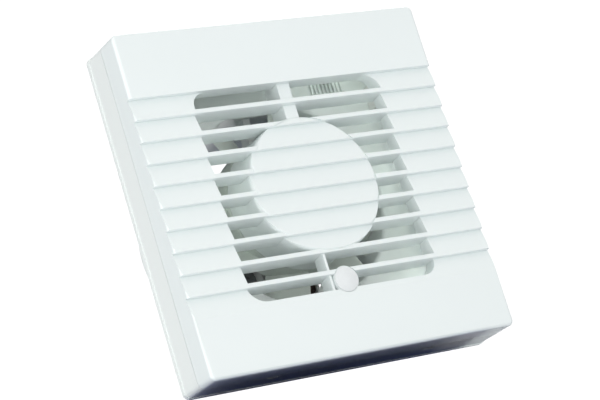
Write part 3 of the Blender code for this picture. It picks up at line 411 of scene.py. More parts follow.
@dataclass(frozen=True)
class Laminations:
    """A stack of stamped steel sheets, seen as fine lines across the stack."""

    colour: Colour = (0.36, 0.37, 0.39)
    varnish: Colour = (0.16, 0.13, 0.10)
    sheet: float = 0.5

    def dress(self, name: str) -> bpy.types.Material:
        """Build the material.

        Args:
            name: the material's name.

        Returns:
            The material.
        """
        surface = Surface(name)
        sheets = surface.bands(self.sheet, "Y")
        patches = surface.noise(2.4, 4.0, 0.6)
        tone = surface.blend(sheets.rise(0.0, 0.35), self.varnish, self.colour)
        tone = surface.blend(patches.rise(0.5, 0.8) * 0.6, tone, self.varnish)
        surface.bump((sheets, 0.05), (surface.noise(0.3, 3.0), 0.006))
        rough = 0.34 + patches * 0.25
        return surface.set(Base_Color=tone, Roughness=rough, Metallic=0.85)


@dataclass(frozen=True)
class Winding:
    """Copper wire wound side by side under a dark varnish, with painted shade in the grooves between turns.
    """

    colour: Colour = (0.085, 0.060, 0.050)
    # gap: painted shade in the grooves between turns
    gap: Colour = (0.020, 0.014, 0.012)
    thin_varnish: Colour = (0.13, 0.075, 0.050)
    wire: float = 0.30

    def dress(self, name: str) -> bpy.types.Material:
        """Build the material.

        Args:
            name: the material's name.

        Returns:
            The material.
        """
        surface = Surface(name)
        turns = surface.bands(self.wire, "X", 0.6)
        uneven = surface.noise(3.0, 3.0)
        # painted shade: the grooves between neighbouring turns are darkened to the gap colour
        tone = surface.blend(turns.rise(0.0, 0.4), self.gap, self.colour)
        tone = surface.blend(uneven.rise(0.5, 0.8) * 0.4, tone, self.thin_varnish)
        surface.bump((turns, 0.14), (uneven, 0.10))
        return surface.set(Base_Color=tone, Roughness=0.30 + uneven * 0.2, Metallic=0.4)


@dataclass(frozen=True)
class Rubber:
    """Moulded rubber with a dusty bloom."""

    colour: Colour = (0.030, 0.032, 0.036)
    dust: Colour = (0.12, 0.12, 0.13)

    def dress(self, name: str) -> bpy.types.Material:
        """Build the material.

        Args:
            name: the material's name.

        Returns:
            The material.
        """
        surface = Surface(name)
        bloom = surface.noise(1.8, 4.0, 0.6)
        tone = surface.blend(bloom.rise(0.4, 0.8) * 0.4, self.colour, self.dust)
        surface.bump((surface.noise(0.25, 2.0), 0.008))
        return surface.set(Base_Color=tone, Roughness=0.6 + bloom * 0.25)


@dataclass(frozen=True)
class Insulation:
    """Extruded wire insulation with a slight sheen."""

    colour: Colour

    def dress(self, name: str) -> bpy.types.Material:
        """Build the material.

        Args:
            name: the material's name.

        Returns:
            The material.
        """
        surface = Surface(name)
        draw = surface.noise(1.2, 3.0)
        dark = tuple(c * 0.7 for c in self.colour)
        tone = surface.blend(draw.rise(0.35, 0.75), self.colour, dark)
        surface.bump((surface.noise(0.4, 2.0), 0.006))
        return surface.set(Base_Color=tone, Roughness=0.34 + draw * 0.15)


@dataclass(frozen=True)
class MilkyLens:
    """A translucent moulded lens with a polished face."""

    colour: Colour = (0.84, 0.87, 0.87)

    def dress(self, name: str) -> bpy.types.Material:
        """Build the material.

        Args:
            name: the material's name.

        Returns:
            The material.
        """
        surface = Surface(name)
        cloud = surface.noise(2.6, 3.0)
        darker = tuple(c * 0.93 for c in self.colour)
        tone = surface.blend(cloud, self.colour, darker)
        surface.bump((surface.noise(1.6, 1.0), 0.006))
        return surface.set(Base_Color=tone, Roughness=0.16 + cloud * 0.10)


@dataclass(frozen=True)
class LampGlass:
    """The neon lamp's glass, with a grey tip and dark streaks from its electrodes."""

    colour: Colour = (0.80, 0.52, 0.38)
    tip: Colour = (0.62, 0.60, 0.58)
    streaks: Colour = (0.25, 0.22, 0.20)

    def dress(self, name: str) -> bpy.types.Material:
        """Build the material.

        Args:
            name: the material's name.

        Returns:
            The material.
        """
        surface = Surface(name)
        getter = (surface.height(1) * 0.2).rise(-3.3, -2.6)
        streak = surface.noise(0.9, 2.0, stretch=(1.0, 0.3, 1.0))
        tone = surface.blend(getter, self.tip, self.colour)
        tone = surface.blend(streak.rise(0.55, 0.7) * 0.5, tone, self.streaks)
        return surface.set(Base_Color=tone, Roughness=0.05 + streak * 0.05, Alpha=0.75)


WHITE_COVER = MouldedPlastic((0.86, 0.915, 0.905), (0.835, 0.89, 0.88), 0.34)
OFF_WHITE = MouldedPlastic((0.87, 0.91, 0.89), (0.84, 0.88, 0.86), 0.42)
# the impeller's white plastic darkened to grey-green: painted shade for the shadow inside the duct
FAN_PAINTED_SHADE = MouldedPlastic((0.66, 0.71, 0.66), (0.61, 0.66, 0.61), 0.40)
WHITE_NYLON = MouldedPlastic((0.82, 0.83, 0.81), (0.76, 0.77, 0.74), 0.30, Texture.POLISHED)
ZINC = Metal((0.62, 0.63, 0.66), (0.44, 0.44, 0.42), 0.28)
GROUND_STEEL = Metal((0.60, 0.61, 0.63), (0.46, 0.46, 0.47), 0.16, (1.0, 1.0, 1.0))
CAST_METAL = Metal((0.56, 0.57, 0.59), (0.40, 0.40, 0.41), 0.42, (0.5, 0.5, 0.5))
BRASS = Metal((0.72, 0.53, 0.24), (0.50, 0.34, 0.14), 0.26)
BRONZE = Metal((0.55, 0.36, 0.18), (0.30, 0.19, 0.10), 0.42, (0.6, 0.6, 0.6))
COPPER = Metal((0.75, 0.34, 0.18), (0.42, 0.17, 0.09), 0.30)


def dress_node(node: str, finish: Finish) -> None:
    """Give a CAD node a finish.

    Args:
        node: the node's name.
        finish: a finish with a dress method.
    """
    material = finish.dress(node + "_finish")
    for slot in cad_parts[node].material_slots:
        slot.material = material


# Stage


@dataclass
class Studio:
    """The camera, the lights, the floor and the surroundings.

    A lamp is given by its name, its place, its side in metres and its power in watts. The glow lamps stand
    just behind the cover's skin, for the daylight that comes through thin white plastic.
    """

    azimuth: float = -32.82
    elevation: float = -14.05
    roll: float = -17.16
    distance: float = 1.0566
    focal: float = 145.13
    target: Point = (-0.01141, FRONT, -0.00685)
    floor_side: float = 8.0
    floor_z: float = -0.62
    floor_paint: Colour = (0.82, 0.83, 0.84)
    flag_sides: tuple[float, float] = (0.147, 0.14)
    flag_place: Point = (-0.0085, FRONT + 0.069, -HALF - 0.0035)
    flag_paint: Colour = (0.002, 0.026, 0.18)
    backdrop_side: float = 10.0
    backdrop_y: float = 4.0
    backdrop_glow: float = 1.1
    high_light: Colour = (0.76, 0.76, 0.76)
    low_light: Colour = (0.60, 0.62, 0.66)
    rear_light: Colour = (0.45, 0.46, 0.48)
    dark: Colour = (0.010, 0.016, 0.032)
    lamps: Sequence[tuple[str, Point, float, float]] = (
        ("overhead", (-0.10, -0.55, 0.95), 0.9, 1.1),
        ("key", (-0.75, -1.05, -0.05), 0.8, 2.6),
        ("low", (-0.40, -1.00, -0.80), 0.8, 2.8),
        ("fill", (0.60, -1.40, 0.20), 0.7, 1.5),
        ("left", (-1.30, 0.10, -0.35), 0.9, 8.5),
        ("rear_side", (1.10, 1.40, 0.05), 0.8, 6.0),
        ("rear_top", (0.70, 0.80, 1.10), 0.8, 7.0),
    )
    glow_places: Sequence[tuple[float, float]] = (
        (0.069, 0.010), (-0.069, 0.004), (0.060, -0.050), (0.038, 0.069),
    )
    glow_y: float = -0.016
    glow_radius: float = 0.006
    glow_power: float = 0.0055
    glow_tint: Colour = (0.96, 1.0, 0.95)

    def axes(self) -> tuple[Vector, Vector, Vector]:
        """Work out which way the camera is turned.

        Returns:
            The camera's right, up and backward directions.
        """
        az, el, roll = (math.radians(v) for v in (self.azimuth, self.elevation, self.roll))
        back = Vector((math.sin(az) * math.cos(el), -math.cos(az) * math.cos(el), math.sin(el)))
        right = Vector((math.cos(az), math.sin(az), 0.0))
        up = back.cross(right)
        turned_right = right * math.cos(roll) + up * math.sin(roll)
        turned_up = up * math.cos(roll) - right * math.sin(roll)
        return turned_right, turned_up, back

    def camera(self) -> None:
        """Place the camera and make it the scene's."""
        right, up, back = self.axes()
        data = bpy.data.cameras.new("camera")
        data.sensor_width = 36.0
        data.lens = self.focal
        data.clip_start = 0.01
        data.clip_end = 50.0
        camera = bpy.data.objects.new("camera", data)
        bpy.context.scene.collection.objects.link(camera)
        turn = Matrix((right, up, back)).transposed().to_4x4()
        camera.matrix_world = Matrix.Translation(Vector(self.target) + back * self.distance) @ turn
        bpy.context.scene.camera = camera

    def card(
        self, name: str, paint: bpy.types.Material, sides: tuple[float, float], place: Point,
        tilt: float = 0.0,
    ) -> bpy.types.Object:
        """Stand a flat card in the studio.

        Args:
            name: the card's name.
            paint: its material.
            sides: its width and depth.
            place: its middle.
            tilt: how far it is tipped up about X, in degrees.

        Returns:
            The card.
        """
        bm = bmesh.new()
        bmesh.ops.create_grid(bm, x_segments=1, y_segments=1, size=0.5)
        bmesh.ops.scale(bm, vec=(*sides, 1.0), verts=bm.verts)
        bmesh.ops.rotate(bm, matrix=Matrix.Rotation(math.radians(tilt), 3, "X"), verts=bm.verts)
        bmesh.ops.translate(bm, vec=place, verts=bm.verts)
        card = new_piece(name, bm)
        card.data.materials.append(paint)
        return card

    def floor(self) -> None:
        """Lay a pale floor far below, which the camera sees but the fan's faces don't."""
        paint = Surface("floor_paint").set(Base_Color=self.floor_paint, Roughness=0.9)
        floor = self.card("floor", paint, (self.floor_side, self.floor_side), (0.0, 0.0, self.floor_z))
        floor.visible_diffuse = False
        floor.visible_glossy = False

    def flag(self) -> None:
        """Hold a dark card under the fan to keep light off its lower side."""
        paint = Surface("flag_card").set(Base_Color=self.flag_paint, Roughness=0.9)
        flag = self.card("under_flag", paint, self.flag_sides, self.flag_place)
        flag.visible_camera = False

    def backdrop(self) -> None:
        """Hang a white sheet far behind the fan, which only the camera sees."""
        paint = Surface("backdrop_sheet").set(
            Base_Color=(0.0, 0.0, 0.0), Roughness=1.0, Emission_Color=(1.0, 1.0, 1.0),
            Emission_Strength=self.backdrop_glow,
        )
        sides = (self.backdrop_side, self.backdrop_side)
        sheet = self.card("backdrop", paint, sides, (0.0, self.backdrop_y, 0.0), 90.0)
        sheet.visible_diffuse = False
        sheet.visible_glossy = False
        sheet.visible_transmission = False
        sheet.visible_shadow = False

    def surroundings(self) -> None:
        """Put white all round the front, which falls to dark blue below and behind the wall."""
        world = bpy.data.worlds.new("surround")
        bpy.context.scene.world = world
        sky = Graph(world)
        direction = sky.node("ShaderNodeTexCoord").outputs["Generated"]
        split = sky.node("ShaderNodeSeparateXYZ", {}, {0: direction})
        inward, upward = Value(sky, split.outputs[1]), Value(sky, split.outputs[2])
        front = sky.blend(upward.rise(-0.9, 0.1), self.low_light, self.high_light)
        rear = sky.blend(upward.rise(0.1, 0.8), self.dark, self.rear_light)
        sky.feed(sky.tree.nodes["Background"].inputs[0], sky.blend(inward.rise(0.0, 0.35), front, rear))

    def light(self, name: str, kind: str, power: float) -> tuple[bpy.types.Object, bpy.types.Light]:
        """Add a lamp at the origin.

        Args:
            name: the lamp's name.
            kind: AREA or POINT.
            power: its power in watts.

        Returns:
            The lamp's object and its data.
        """
        data = bpy.data.lights.new(name, kind)
        data.energy = power
        lamp = bpy.data.objects.new(name, data)
        bpy.context.scene.collection.objects.link(lamp)
        return lamp, data

    def softboxes(self) -> None:
        """Aim the soft square lamps at the fan's front."""
        for name, place, side, power in self.lamps:
            lamp, data = self.light(name, "AREA", power)
            data.shape = "SQUARE"
            data.size = side
            aim = (Vector((0.0, FRONT, 0.0)) - Vector(place)).to_track_quat("-Z", "Y")
            lamp.matrix_world = Matrix.Translation(place) @ aim.to_matrix().to_4x4()

    def inner_glow(self) -> None:
        """Put the glow lamps behind the cover's skin."""
        for x, z in self.glow_places:
            lamp, data = self.light("inner_glow", "POINT", self.glow_power)
            data.shadow_soft_size = self.glow_radius
            data.color = self.glow_tint
            lamp.location = (x, self.glow_y, z)
            lamp.visible_camera = False

    def build(self) -> None:
        """Set up everything that isn't the fan."""
        scene = bpy.context.scene
        scene.view_settings.view_transform = "Standard"
        scene.view_settings.look = "None"
        self.camera()
        self.floor()
        self.flag()
        self.backdrop()
        self.surroundings()
        self.inner_glow()
        self.softboxes()


# Mesh work shared by the pieces


def new_piece(name: str, bm: bmesh.types.BMesh) -> bpy.types.Object:
    """Turn a bmesh into an object at the origin.

    Args:
        name: the piece's name.
        bm: its mesh, which is freed.

    Returns:
        The object.
    """
    mesh = bpy.data.meshes.new(name)
    bm.to_mesh(mesh)
    bm.free()
    obj = bpy.data.objects.new(name, mesh)
    bpy.context.scene.collection.objects.link(obj)
    return obj


def extruded(outline: Sequence[Point], along: Point) -> bmesh.types.BMesh:
    """A prism from a flat outline.

    Args:
        outline: the outline's corners in order.
        along: how far and which way it is extruded.

    Returns:
        The prism.
    """
    bm = bmesh.new()
    face = bm.faces.new([bm.verts.new(p) for p in outline])
    moved = bmesh.ops.extrude_face_region(bm, geom=[face])
    far = [v for v in moved["geom"] if isinstance(v, bmesh.types.BMVert)]
    bmesh.ops.translate(bm, vec=along, verts=far)
    bmesh.ops.recalc_face_normals(bm, faces=bm.faces)
    return bm


def block(low: Point, high: Point) -> bmesh.types.BMesh:
    """A box between two corners.

    Args:
        low: the lowest corner.
        high: the highest corner.

    Returns:
        The box.
    """
    bm = bmesh.new()
    bmesh.ops.create_cube(bm, size=1.0)
    bmesh.ops.scale(bm, vec=[b - a for a, b in zip(low, high)], verts=bm.verts)
    bmesh.ops.translate(bm, vec=[(a + b) / 2 for a, b in zip(low, high)], verts=bm.verts)
    return bm


def runs_along(axis: int, least: float) -> Callable[[bmesh.types.BMEdge], bool]:
    """Choose the edges that run along an axis.

    Args:
        axis: 0, 1 or 2.
        least: an edge that reaches no further than this is left out.

    Returns:
        A test of one edge.
    """
    return lambda edge: abs((edge.verts[0].co - edge.verts[1].co)[axis]) > least


def in_front_plane(edge: bmesh.types.BMEdge) -> bool:
    """Tell whether an edge lies in the fan's front plane.

    Args:
        edge: the edge.

    Returns:
        True where it does.
    """
    return all(v.co.y < FRONT + WELD for v in edge.verts)


def round_edges(
    bm: bmesh.types.BMesh, chosen: Callable[[bmesh.types.BMEdge], bool], radius: float, segments: int = 3
) -> bmesh.types.BMesh:
    """Round the chosen edges.

    Args:
        bm: the mesh.
        chosen: tells whether an edge is rounded.
        radius: size of the rounding.
        segments: faces across it.

    Returns:
        The same mesh.
    """
    bmesh.ops.bevel(
        bm,
        geom=[e for e in bm.edges if chosen(e)],
        offset=radius,
        offset_type="OFFSET",
        segments=segments,
        profile=0.5,
        affect="EDGES",
        material=-1,
        clamp_overlap=True,
    )
    return bm


def spun(profile: Sequence[tuple[float, float]], steps: int, centre: Point = (0, 0, 0)) -> bmesh.types.BMesh:
    """A profile of (radius, y) spun about a line along Y.

    Args:
        profile: the profile's points; it is closed unless both ends are on the axis.
        steps: faces round the axis.
        centre: a point on the axis.

    Returns:
        The solid.
    """
    bm = bmesh.new()
    verts = [bm.verts.new((r, y, 0.0)) for r, y in profile]
    edges = [bm.edges.new(pair) for pair in zip(verts, verts[1:])]
    if profile[0][0] > WELD or profile[-1][0] > WELD:
        edges.append(bm.edges.new((verts[-1], verts[0])))
    bmesh.ops.spin(
        bm, geom=verts + edges, cent=(0, 0, 0), axis=(0, 1, 0), angle=2 * math.pi, steps=steps,
        use_merge=True, use_duplicate=False,
    )
    bmesh.ops.remove_doubles(bm, verts=bm.verts, dist=WELD)
    bmesh.ops.recalc_face_normals(bm, faces=bm.faces)
    bmesh.ops.translate(bm, vec=centre, verts=bm.verts)
    return bm


def drum(radius: float, y0: float, y1: float, steps: int, x: float = 0, z: float = 0) -> bmesh.types.BMesh:
    """A cylinder along Y.

    Args:
        radius: its radius.
        y0: its front.
        y1: its rear.
        steps: faces round it.
        x: the axis' place.
        z: the axis' place.

    Returns:
        The cylinder.
    """
    bm = bmesh.new()
    place = Matrix.Translation((x, (y0 + y1) / 2, z)) @ Matrix.Rotation(math.radians(90), 4, "X")
    bmesh.ops.create_cone(
        bm, cap_ends=True, segments=steps, radius1=radius, radius2=radius, depth=y1 - y0, matrix=place
    )
    return bm


def combined(base: bmesh.types.BMesh, others: Iterable[tuple[str, bmesh.types.BMesh]]) -> bmesh.types.BMesh:
    """Join, cut or intersect solids one after another.

    Args:
        base: the first solid.
        others: pairs of UNION, DIFFERENCE or INTERSECT and a solid.

    Returns:
        The combined solid.
    """
    body = new_piece("body", base)
    tools = []
    for operation, bm in others:
        tool = new_piece("tool", bm)
        tools.append(tool)
        modifier = body.modifiers.new("join", "BOOLEAN")
        modifier.operation = operation
        modifier.solver = "EXACT"
        modifier.object = tool
    graph = bpy.context.evaluated_depsgraph_get()
    mesh = bpy.data.meshes.new_from_object(body.evaluated_get(graph))
    result = bmesh.new()
    result.from_mesh(mesh)
    for obj in [body, *tools]:
        old = obj.data
        bpy.data.objects.remove(obj, do_unlink=True)
        bpy.data.meshes.remove(old)
    bpy.data.meshes.remove(mesh)
    bmesh.ops.remove_doubles(result, verts=result.verts, dist=WELD)
    return result


def merged(solids: Sequence[bmesh.types.BMesh]) -> bmesh.types.BMesh:
    """Several separate solids in one mesh.

    Args:
        solids: the solids, which are freed.

    Returns:
        One mesh.
    """
    result = bmesh.new()
    for bm in solids:
        mesh = bpy.data.meshes.new("part")
        bm.to_mesh(mesh)
        bm.free()
        result.from_mesh(mesh)
        bpy.data.meshes.remove(mesh)
    return result


def shown(name: str, bm: bmesh.types.BMesh, finish: Finish, angle: float = 32.0) -> bpy.types.Object:
    """A finished piece with smooth shading that keeps its corners.

    Args:
        name: the piece's name.
        bm: its mesh.
        finish: a finish with a dress method.
        angle: edges sharper than this, in degrees, stay sharp.

    Returns:
        The object.
    """
    obj = new_piece(name, bm)
    obj.data.materials.append(finish.dress(name + "_finish"))
    obj.data.shade_smooth()
    obj.data.set_sharp_from_angle(angle=math.radians(angle))
    weighted = obj.modifiers.new("even_shading", "WEIGHTED_NORMAL")
    weighted.keep_sharp = True
    return obj


# Pieces


@dataclass
class Cover:
    """The louvred front cover with its slats, centre disc and lens, in metres.

    A lap is how far a piece reaches into the one that it joins.
    """

    rear: float = -0.0152
    wall: float = 0.0020
    skin: float = 0.0022
    corner: float = 0.0028
    front_round: float = 0.0016
    lip_round: float = 0.00045
    opening_half: float = 0.0488
    opening_depth: float = 0.0080
    sill_z: float = FIRST_STEP_Z - (STEP_COUNT - 1) * STEP_PITCH - 0.0070
    opening_round: float = 0.0078
    collar_wall: float = 0.0016
    collar_depth: float = 0.0092
    lap: float = 0.0004
    slat_setback: float = 0.0001
    slat_lip: float = 0.0023
    slat_depth: float = 0.0116
    slat_drop: float = 0.0007
    slat_rear: float = 0.0013
    disc_radius: float = 0.0322
    disc_round: float = 0.0034
    disc_wall: float = 0.0018
    skirt_rear: float = -0.0040
    rib_half: float = 0.0034
    rib_front: float = FRONT + 0.0033
    rib_depth: float = 0.0112
    rib_round: float = 0.0004
    side_rib_x: float = -0.0072
    side_rib_wall: float = 0.0013
    side_rib_front: float = FRONT + 0.0012
    side_rib_lap: float = 0.0022
    side_rib_round: float = 0.0003
    lens_z: float = -0.0452
    lens_radius: float = 0.0058
    lens_back: float = FRONT + 0.0006
    lens_crown: float = FRONT - 0.0004
    lens_dome: float = 0.0008
    lens_edge: float = 0.0002
    stem_radius: float = 0.0046
    stem_length: float = 0.0060
    boss_wall: float = 0.0013
    boss_depth: float = 0.0100
    gap: float = 0.0003
    snap_x: float = 0.0410
    snap_half: float = 0.0050
    snap_wall: float = 0.0015
    snap_reach: float = 0.0060
    snap_foot: float = 0.0006

    def shell(self) -> bmesh.types.BMesh:
        """Make the square shell before its steps are cut.

        Returns:
            The shell, still solid.
        """
        bm = block((-HALF, FRONT, -HALF), (HALF, self.rear, HALF))
        round_edges(bm, runs_along(1, 0.01), self.corner, 6)
        return round_edges(bm, in_front_plane, self.front_round, 5)

    def hollow(self) -> bmesh.types.BMesh:
        """Make the room inside the shell.

        Returns:
            The cutter.
        """
        inside = HALF - self.wall
        rear, flat = self.rear + OVERCUT, FRONT + self.skin
        deep = flat + STEP_DEPTH
        top = FIRST_STEP_Z + self.skin
        outline = [(rear, inside), (flat, inside), (flat, top), (deep, top), (deep, SAW_END_Z),
                   (flat, SAW_END_Z), (flat, -inside), (rear, -inside)]
        return extruded([(-inside, y, z) for y, z in outline], (2 * inside, 0, 0))

    def saw(self, half: float) -> bmesh.types.BMesh:
        """The cutter for the steps, which leaves a small round on each lip.

        Args:
            half: half its width.

        Returns:
            The cutter.
        """
        ahead = FRONT - OVERCUT
        outline = [(ahead, FIRST_STEP_Z)]
        for k in range(STEP_COUNT):
            z = FIRST_STEP_Z - k * STEP_PITCH
            outline += [(FRONT, z), (FRONT + STEP_DEPTH, z)]
        outline += [(FRONT, SAW_END_Z), (ahead, SAW_END_Z)]
        bm = extruded([(-half, y, z) for y, z in outline], (2 * half, 0, 0))

        def on_lip(edge: bmesh.types.BMEdge) -> bool:
            """Tell whether an edge runs along a lip.

            Args:
                edge: the edge.

            Returns:
                True where it does.
            """
            y, z = edge.verts[0].co.y, edge.verts[0].co.z
            return runs_along(0, half)(edge) and abs(y - FRONT) < WELD and z > SAW_END_Z + STEP_PITCH / 2

        return round_edges(bm, on_lip, self.lip_round, 3)

    def opening(self, grow: float, y0: float, y1: float) -> bmesh.types.BMesh:
        """A rounded square plug as large as the opening.

        Args:
            grow: how much larger it is on every side.
            y0: its front.
            y1: its rear.

        Returns:
            The plug.
        """
        half = self.opening_half + grow
        bm = block((-half, y0, self.sill_z - grow), (half, y1, FIRST_STEP_Z + grow))
        return round_edges(bm, runs_along(1, self.lap), self.opening_round + grow, 8)

    def slat(self, k: int) -> bmesh.types.BMesh:
        """One slat across the opening.

        Args:
            k: its number from the top.

        Returns:
            The slat.
        """
        tip = FIRST_STEP_Z - k * STEP_PITCH
        edge = FRONT + self.slat_setback
        lip = edge + STEP_DEPTH * self.slat_lip / STEP_PITCH
        rear = FRONT + self.slat_depth
        half = self.opening_half + self.collar_wall / 2
        outline = [(edge, tip), (rear, tip - self.slat_drop), (rear, tip - self.slat_drop + self.slat_rear),
                   (lip, tip + self.slat_lip)]
        bm = extruded([(-half, y, z) for y, z in outline], (2 * half, 0, 0))
        return round_edges(bm, runs_along(0, half), self.lip_round * 0.9, 3)

    def disc(self) -> bmesh.types.BMesh:
        """Make the centre disc with a soft rim, cut to the steps.

        Returns:
            The disc and its skirt.
        """
        bm = drum(self.disc_radius, FRONT, self.skirt_rear, DISC_STEPS)
        round_edges(bm, in_front_plane, self.disc_round, 8)
        hollow = drum(self.disc_radius - self.disc_wall, FRONT + STEP_DEPTH + self.skin,
                      self.skirt_rear + OVERCUT, DISC_STEPS)
        return combined(bm, [("DIFFERENCE", self.saw(HALF)), ("DIFFERENCE", hollow)])

    def ribs(self) -> bmesh.types.BMesh:
        """Make the rib above the disc and the thin one below it.

        Returns:
            Both ribs in one mesh.
        """
        top = block(
            (-self.rib_half, self.rib_front, self.disc_radius - self.disc_wall / 2),
            (self.rib_half, self.rib_front + self.rib_depth, FIRST_STEP_Z + self.collar_wall / 2),
        )
        round_edges(top, runs_along(2, self.wall), self.rib_round, 2)
        half = self.side_rib_wall / 2
        side = block(
            (self.side_rib_x - half, self.side_rib_front, self.sill_z - self.collar_wall / 2),
            (self.side_rib_x + half, FRONT + self.collar_depth, self.side_rib_lap - self.disc_radius),
        )
        round_edges(side, runs_along(2, self.wall), self.side_rib_round, 2)
        return merged([top, side])

    def snap(self, x: float, side: int) -> bmesh.types.BMesh:
        """A tongue that lies inside the housing's wall.

        Args:
            x: its place.
            side: 1 at the top, -1 at the bottom.

        Returns:
            The tongue.
        """
        outer, back = HALF - self.wall, self.rear - self.snap_foot
        root = FRONT + self.skin - self.lap
        inner = outer - self.gap - self.snap_wall
        tip = self.rear + self.snap_reach
        outline = [(root, outer + self.lap), (back, outer + self.lap), (back, outer - self.gap),
                   (tip, outer - self.gap), (tip, inner), (root, inner)]
        return extruded([(x - self.snap_half, y, z * side) for y, z in outline], (2 * self.snap_half, 0, 0))

    def body(self) -> bmesh.types.BMesh:
        """Join the whole cover.

        Returns:
            The cover as one solid.
        """
        step_front = FRONT + STEP_DEPTH + self.lap
        collar_rear = FRONT + self.collar_depth
        collar = combined(
            self.opening(self.collar_wall, step_front, collar_rear),
            [("DIFFERENCE", self.opening(0.0, step_front - OVERCUT, collar_rear + OVERCUT))],
        )
        core = drum(self.disc_radius - self.disc_wall / 2, FRONT - OVERCUT,
                    FRONT + self.slat_depth + OVERCUT, DISC_STEPS)
        slats = combined(merged([self.slat(k) for k in range(1, STEP_COUNT)]), [("DIFFERENCE", core)])
        seat = self.lens_back + self.gap
        bore = self.stem_radius + self.gap
        boss_rear = FRONT + self.boss_depth
        boss = drum(bore + self.boss_wall, seat, boss_rear, LENS_STEPS, z=self.lens_z)
        recess = drum(self.lens_radius + self.gap, FRONT - OVERCUT, seat, LENS_STEPS, z=self.lens_z)
        hole = drum(bore, FRONT - OVERCUT, boss_rear + OVERCUT, LENS_STEPS, z=self.lens_z)
        snaps = merged([self.snap(x, side) for x in (-self.snap_x, self.snap_x) for side in (-1, 1)])
        return combined(self.shell(), [
            ("DIFFERENCE", self.hollow()),
            ("DIFFERENCE", self.saw(HALF + OVERCUT)),
            ("DIFFERENCE", self.opening(0.0, FRONT - OVERCUT, FRONT + self.opening_depth)),
            ("UNION", collar),
            ("UNION", slats),
            ("UNION", self.ribs()),
            ("UNION", self.disc()),
            ("UNION", boss),
            ("DIFFERENCE", recess),
            ("DIFFERENCE", hole),
            ("UNION", snaps),
        ])

    def lens(self) -> bmesh.types.BMesh:
        """Make the domed lens of the indicator.

        Returns:
            The lens and its stem.
        """
        stem_end = self.lens_back + self.stem_length
        sphere = (self.lens_radius ** 2 + self.lens_dome ** 2) / (2 * self.lens_dome)
        profile = [(0.0, stem_end), (self.stem_radius, stem_end), (self.stem_radius, self.lens_back),
                   (self.lens_radius, self.lens_back),
                   (self.lens_radius, self.lens_crown + self.lens_dome + self.lens_edge)]
        for i in range(12):
            r = (self.lens_radius - self.lens_edge) * (1 - i / 11)
            profile.append((r, self.lens_crown + sphere - math.sqrt(sphere ** 2 - r ** 2)))
        return spun(profile, LENS_STEPS, (0, 0, self.lens_z))

    def build(self) -> None:
        """Make the cover and its lens."""
        cover = shown("louvred_cover", self.body(), WHITE_COVER)
        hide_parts("front_cover")
        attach(cover, "cover")
        lens = shown("domed_lens", self.lens(), MilkyLens())
        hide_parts("indicator_lens")
        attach(lens, "cover")


@dataclass
class Housing:
    """The duct housing and the small pieces fixed to it."""

    fixings: Sequence[str] = (
        "cable_clamp_screw_1", "cable_clamp_screw_2", "terminal_block_screw", "neon_holder_screw",
        "terminal_screw_1", "terminal_screw_2", "terminal_screw_3", "motor_screw_1", "motor_screw_2",
    )

    def build(self) -> None:
        """Dress the housing's nodes."""
        dress_node("fan_housing", OFF_WHITE)
        for name in ("cable_clamp", "terminal_block", "neon_holder"):
            dress_node(name, WHITE_NYLON)
        dress_node("cable_grommet", Rubber())
        dress_node("neon_lamp", LampGlass())
        for name in self.fixings:
            dress_node(name, ZINC)
        for i in (1, 2, 3):
            dress_node(f"terminal_insert_{i}", BRASS)
        dress_node("motor_lead_1", Insulation((0.25, 0.12, 0.06)))
        dress_node("motor_lead_2", Insulation((0.05, 0.12, 0.42)))
        for name in ("neon_lead_1", "neon_lead_2"):
            dress_node(name, Insulation((0.72, 0.72, 0.70)))


@dataclass
class Motor:
    """The shaded-pole motor behind the impeller."""

    def build(self) -> None:
        """Dress the motor's nodes."""
        dress_node("stator_core", Laminations())
        dress_node("rotor", Laminations((0.45, 0.46, 0.48), (0.22, 0.21, 0.20)))
        dress_node("coil_winding", Winding())
        dress_node("coil_bobbin", WHITE_NYLON)
        for name in ("shading_ring_1", "shading_ring_2"):
            dress_node(name, COPPER)
        for name in ("front_bearing_bracket", "rear_bearing_bracket"):
            dress_node(name, CAST_METAL)
        for name in ("front_bush", "rear_bush"):
            dress_node(name, BRONZE)
        for name in ("front_thrust_washer", "rear_thrust_washer"):
            dress_node(name, WHITE_NYLON)
        dress_node("motor_shaft", GROUND_STEEL)
        dress_node("impeller_clip", ZINC)


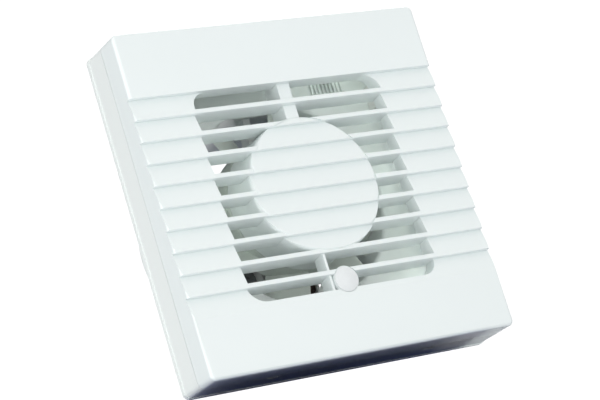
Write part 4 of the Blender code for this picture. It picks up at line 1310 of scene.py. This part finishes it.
@dataclass
class Impeller:
    """The axial impeller: a hub cap with twisted aerofoil blades, in metres and degrees."""

    hub_radius: float = 0.0322
    hub_wall: float = 0.0016
    hub_front: float = -0.0028
    hub_rear: float = 0.0110
    rim_round: float = 0.0012
    face_wall: float = 0.0018
    mouth_bevel: float = 0.0003
    boss: float = 0.0046
    boss_setback: float = 0.0040
    bore: float = 0.0019
    blade_count: int = 8
    blade_front: float = -0.0004
    blade_length: float = 0.0115
    blade_tip: float = 0.0463
    blade_middle: float = 120.0
    root_sweep: float = 29.0
    tip_sweep: float = 20.0
    thickest: float = 0.0016
    thinnest: float = 0.0005
    camber: float = 0.10

    def hub(self) -> bmesh.types.BMesh:
        """Make the hub cap, closed at the front, with its boss inside.

        Returns:
            The hub.
        """
        face = self.hub_front + self.face_wall
        inner = self.hub_radius - self.hub_wall
        boss_end = self.hub_rear - self.boss_setback
        profile = [(self.hub_radius, self.hub_rear - self.mouth_bevel),
                   (self.hub_radius, self.hub_front + self.rim_round)]
        for i in range(1, 6):
            turn = math.radians(90 * i / 6)
            profile.append((self.hub_radius - self.rim_round * (1 - math.cos(turn)),
                            self.hub_front + self.rim_round * (1 - math.sin(turn))))
        profile += [(self.hub_radius - self.rim_round, self.hub_front), (self.bore, self.hub_front),
                    (self.bore, boss_end), (self.boss, boss_end), (self.boss, face), (inner, face),
                    (inner, self.hub_rear), (self.hub_radius - self.mouth_bevel, self.hub_rear)]
        return spun(profile, 96)

    def section(self, radius: float) -> list[Vector]:
        """Lay out the blade's section at one radius, as a rounded aerofoil.

        Args:
            radius: distance from the shaft's axis.

        Returns:
            The section's points in order.
        """
        outward = (radius - self.hub_radius) / (self.blade_tip - self.hub_radius)
        sweep = self.root_sweep + (self.tip_sweep - self.root_sweep) * outward
        ring: list[Vector] = []
        count = 12
        for side in (1, -1):
            for i in range(count):
                share = (1 - math.cos(math.pi * i / count)) / 2
                share = share if side > 0 else 1 - share
                camber = math.sin(math.pi * share) * self.camber
                angle = math.radians(self.blade_middle + sweep * (0.5 - share - camber))
                y = self.blade_front + self.blade_length * share
                fullness = math.sqrt(max(0.0, math.sin(math.pi * share))) ** 0.7
                swell = (self.thickest - self.thinnest) * (1 - 0.4 * outward)
                half = side * (self.thinnest + swell) * fullness / 2
                slope = math.atan2(math.radians(sweep) * radius, self.blade_length)
                across = half * math.cos(slope) / radius
                ring.append(Vector((radius * math.cos(angle + across), y + half * math.sin(slope),
                                    radius * math.sin(angle + across))))
        return ring

    def blade(self, index: int) -> bmesh.types.BMesh:
        """Make one blade as a closed skin through its sections.

        Args:
            index: its number round the hub.

        Returns:
            The blade.
        """
        bm = bmesh.new()
        root = self.hub_radius - self.hub_wall * 0.6
        radii = [root + (self.blade_tip - root) * i / 7 for i in range(8)]
        rings = [[bm.verts.new(p) for p in self.section(r)] for r in radii]
        for low, high in zip(rings, rings[1:]):
            for i in range(len(low)):
                j = (i + 1) % len(low)
                bm.faces.new((low[i], low[j], high[j], high[i]))
        bm.faces.new(list(reversed(rings[0])))
        bm.faces.new(rings[-1])
        turn = Matrix.Rotation(-2 * math.pi * index / self.blade_count, 4, "Y")
        bmesh.ops.transform(bm, matrix=turn, verts=bm.verts)
        bmesh.ops.recalc_face_normals(bm, faces=bm.faces)
        return bm

    def build(self) -> None:
        """Make the impeller."""
        blades = merged([self.blade(i) for i in range(self.blade_count)])
        impeller = shown("bladed_impeller", combined(self.hub(), [("UNION", blades)]), FAN_PAINTED_SHADE, 40.0)
        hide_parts("impeller")
        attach(impeller, "impeller")


def main() -> None:
    """Build the studio and every sub-assembly, in order."""
    logging.basicConfig(level=logging.INFO, format="%(name)s: %(message)s")
    for maker in (Studio(), Cover(), Housing(), Impeller(), Motor()):
        maker.build()
        log.info("%s built", type(maker).__name__)


if __name__ == "__main__":
    main()
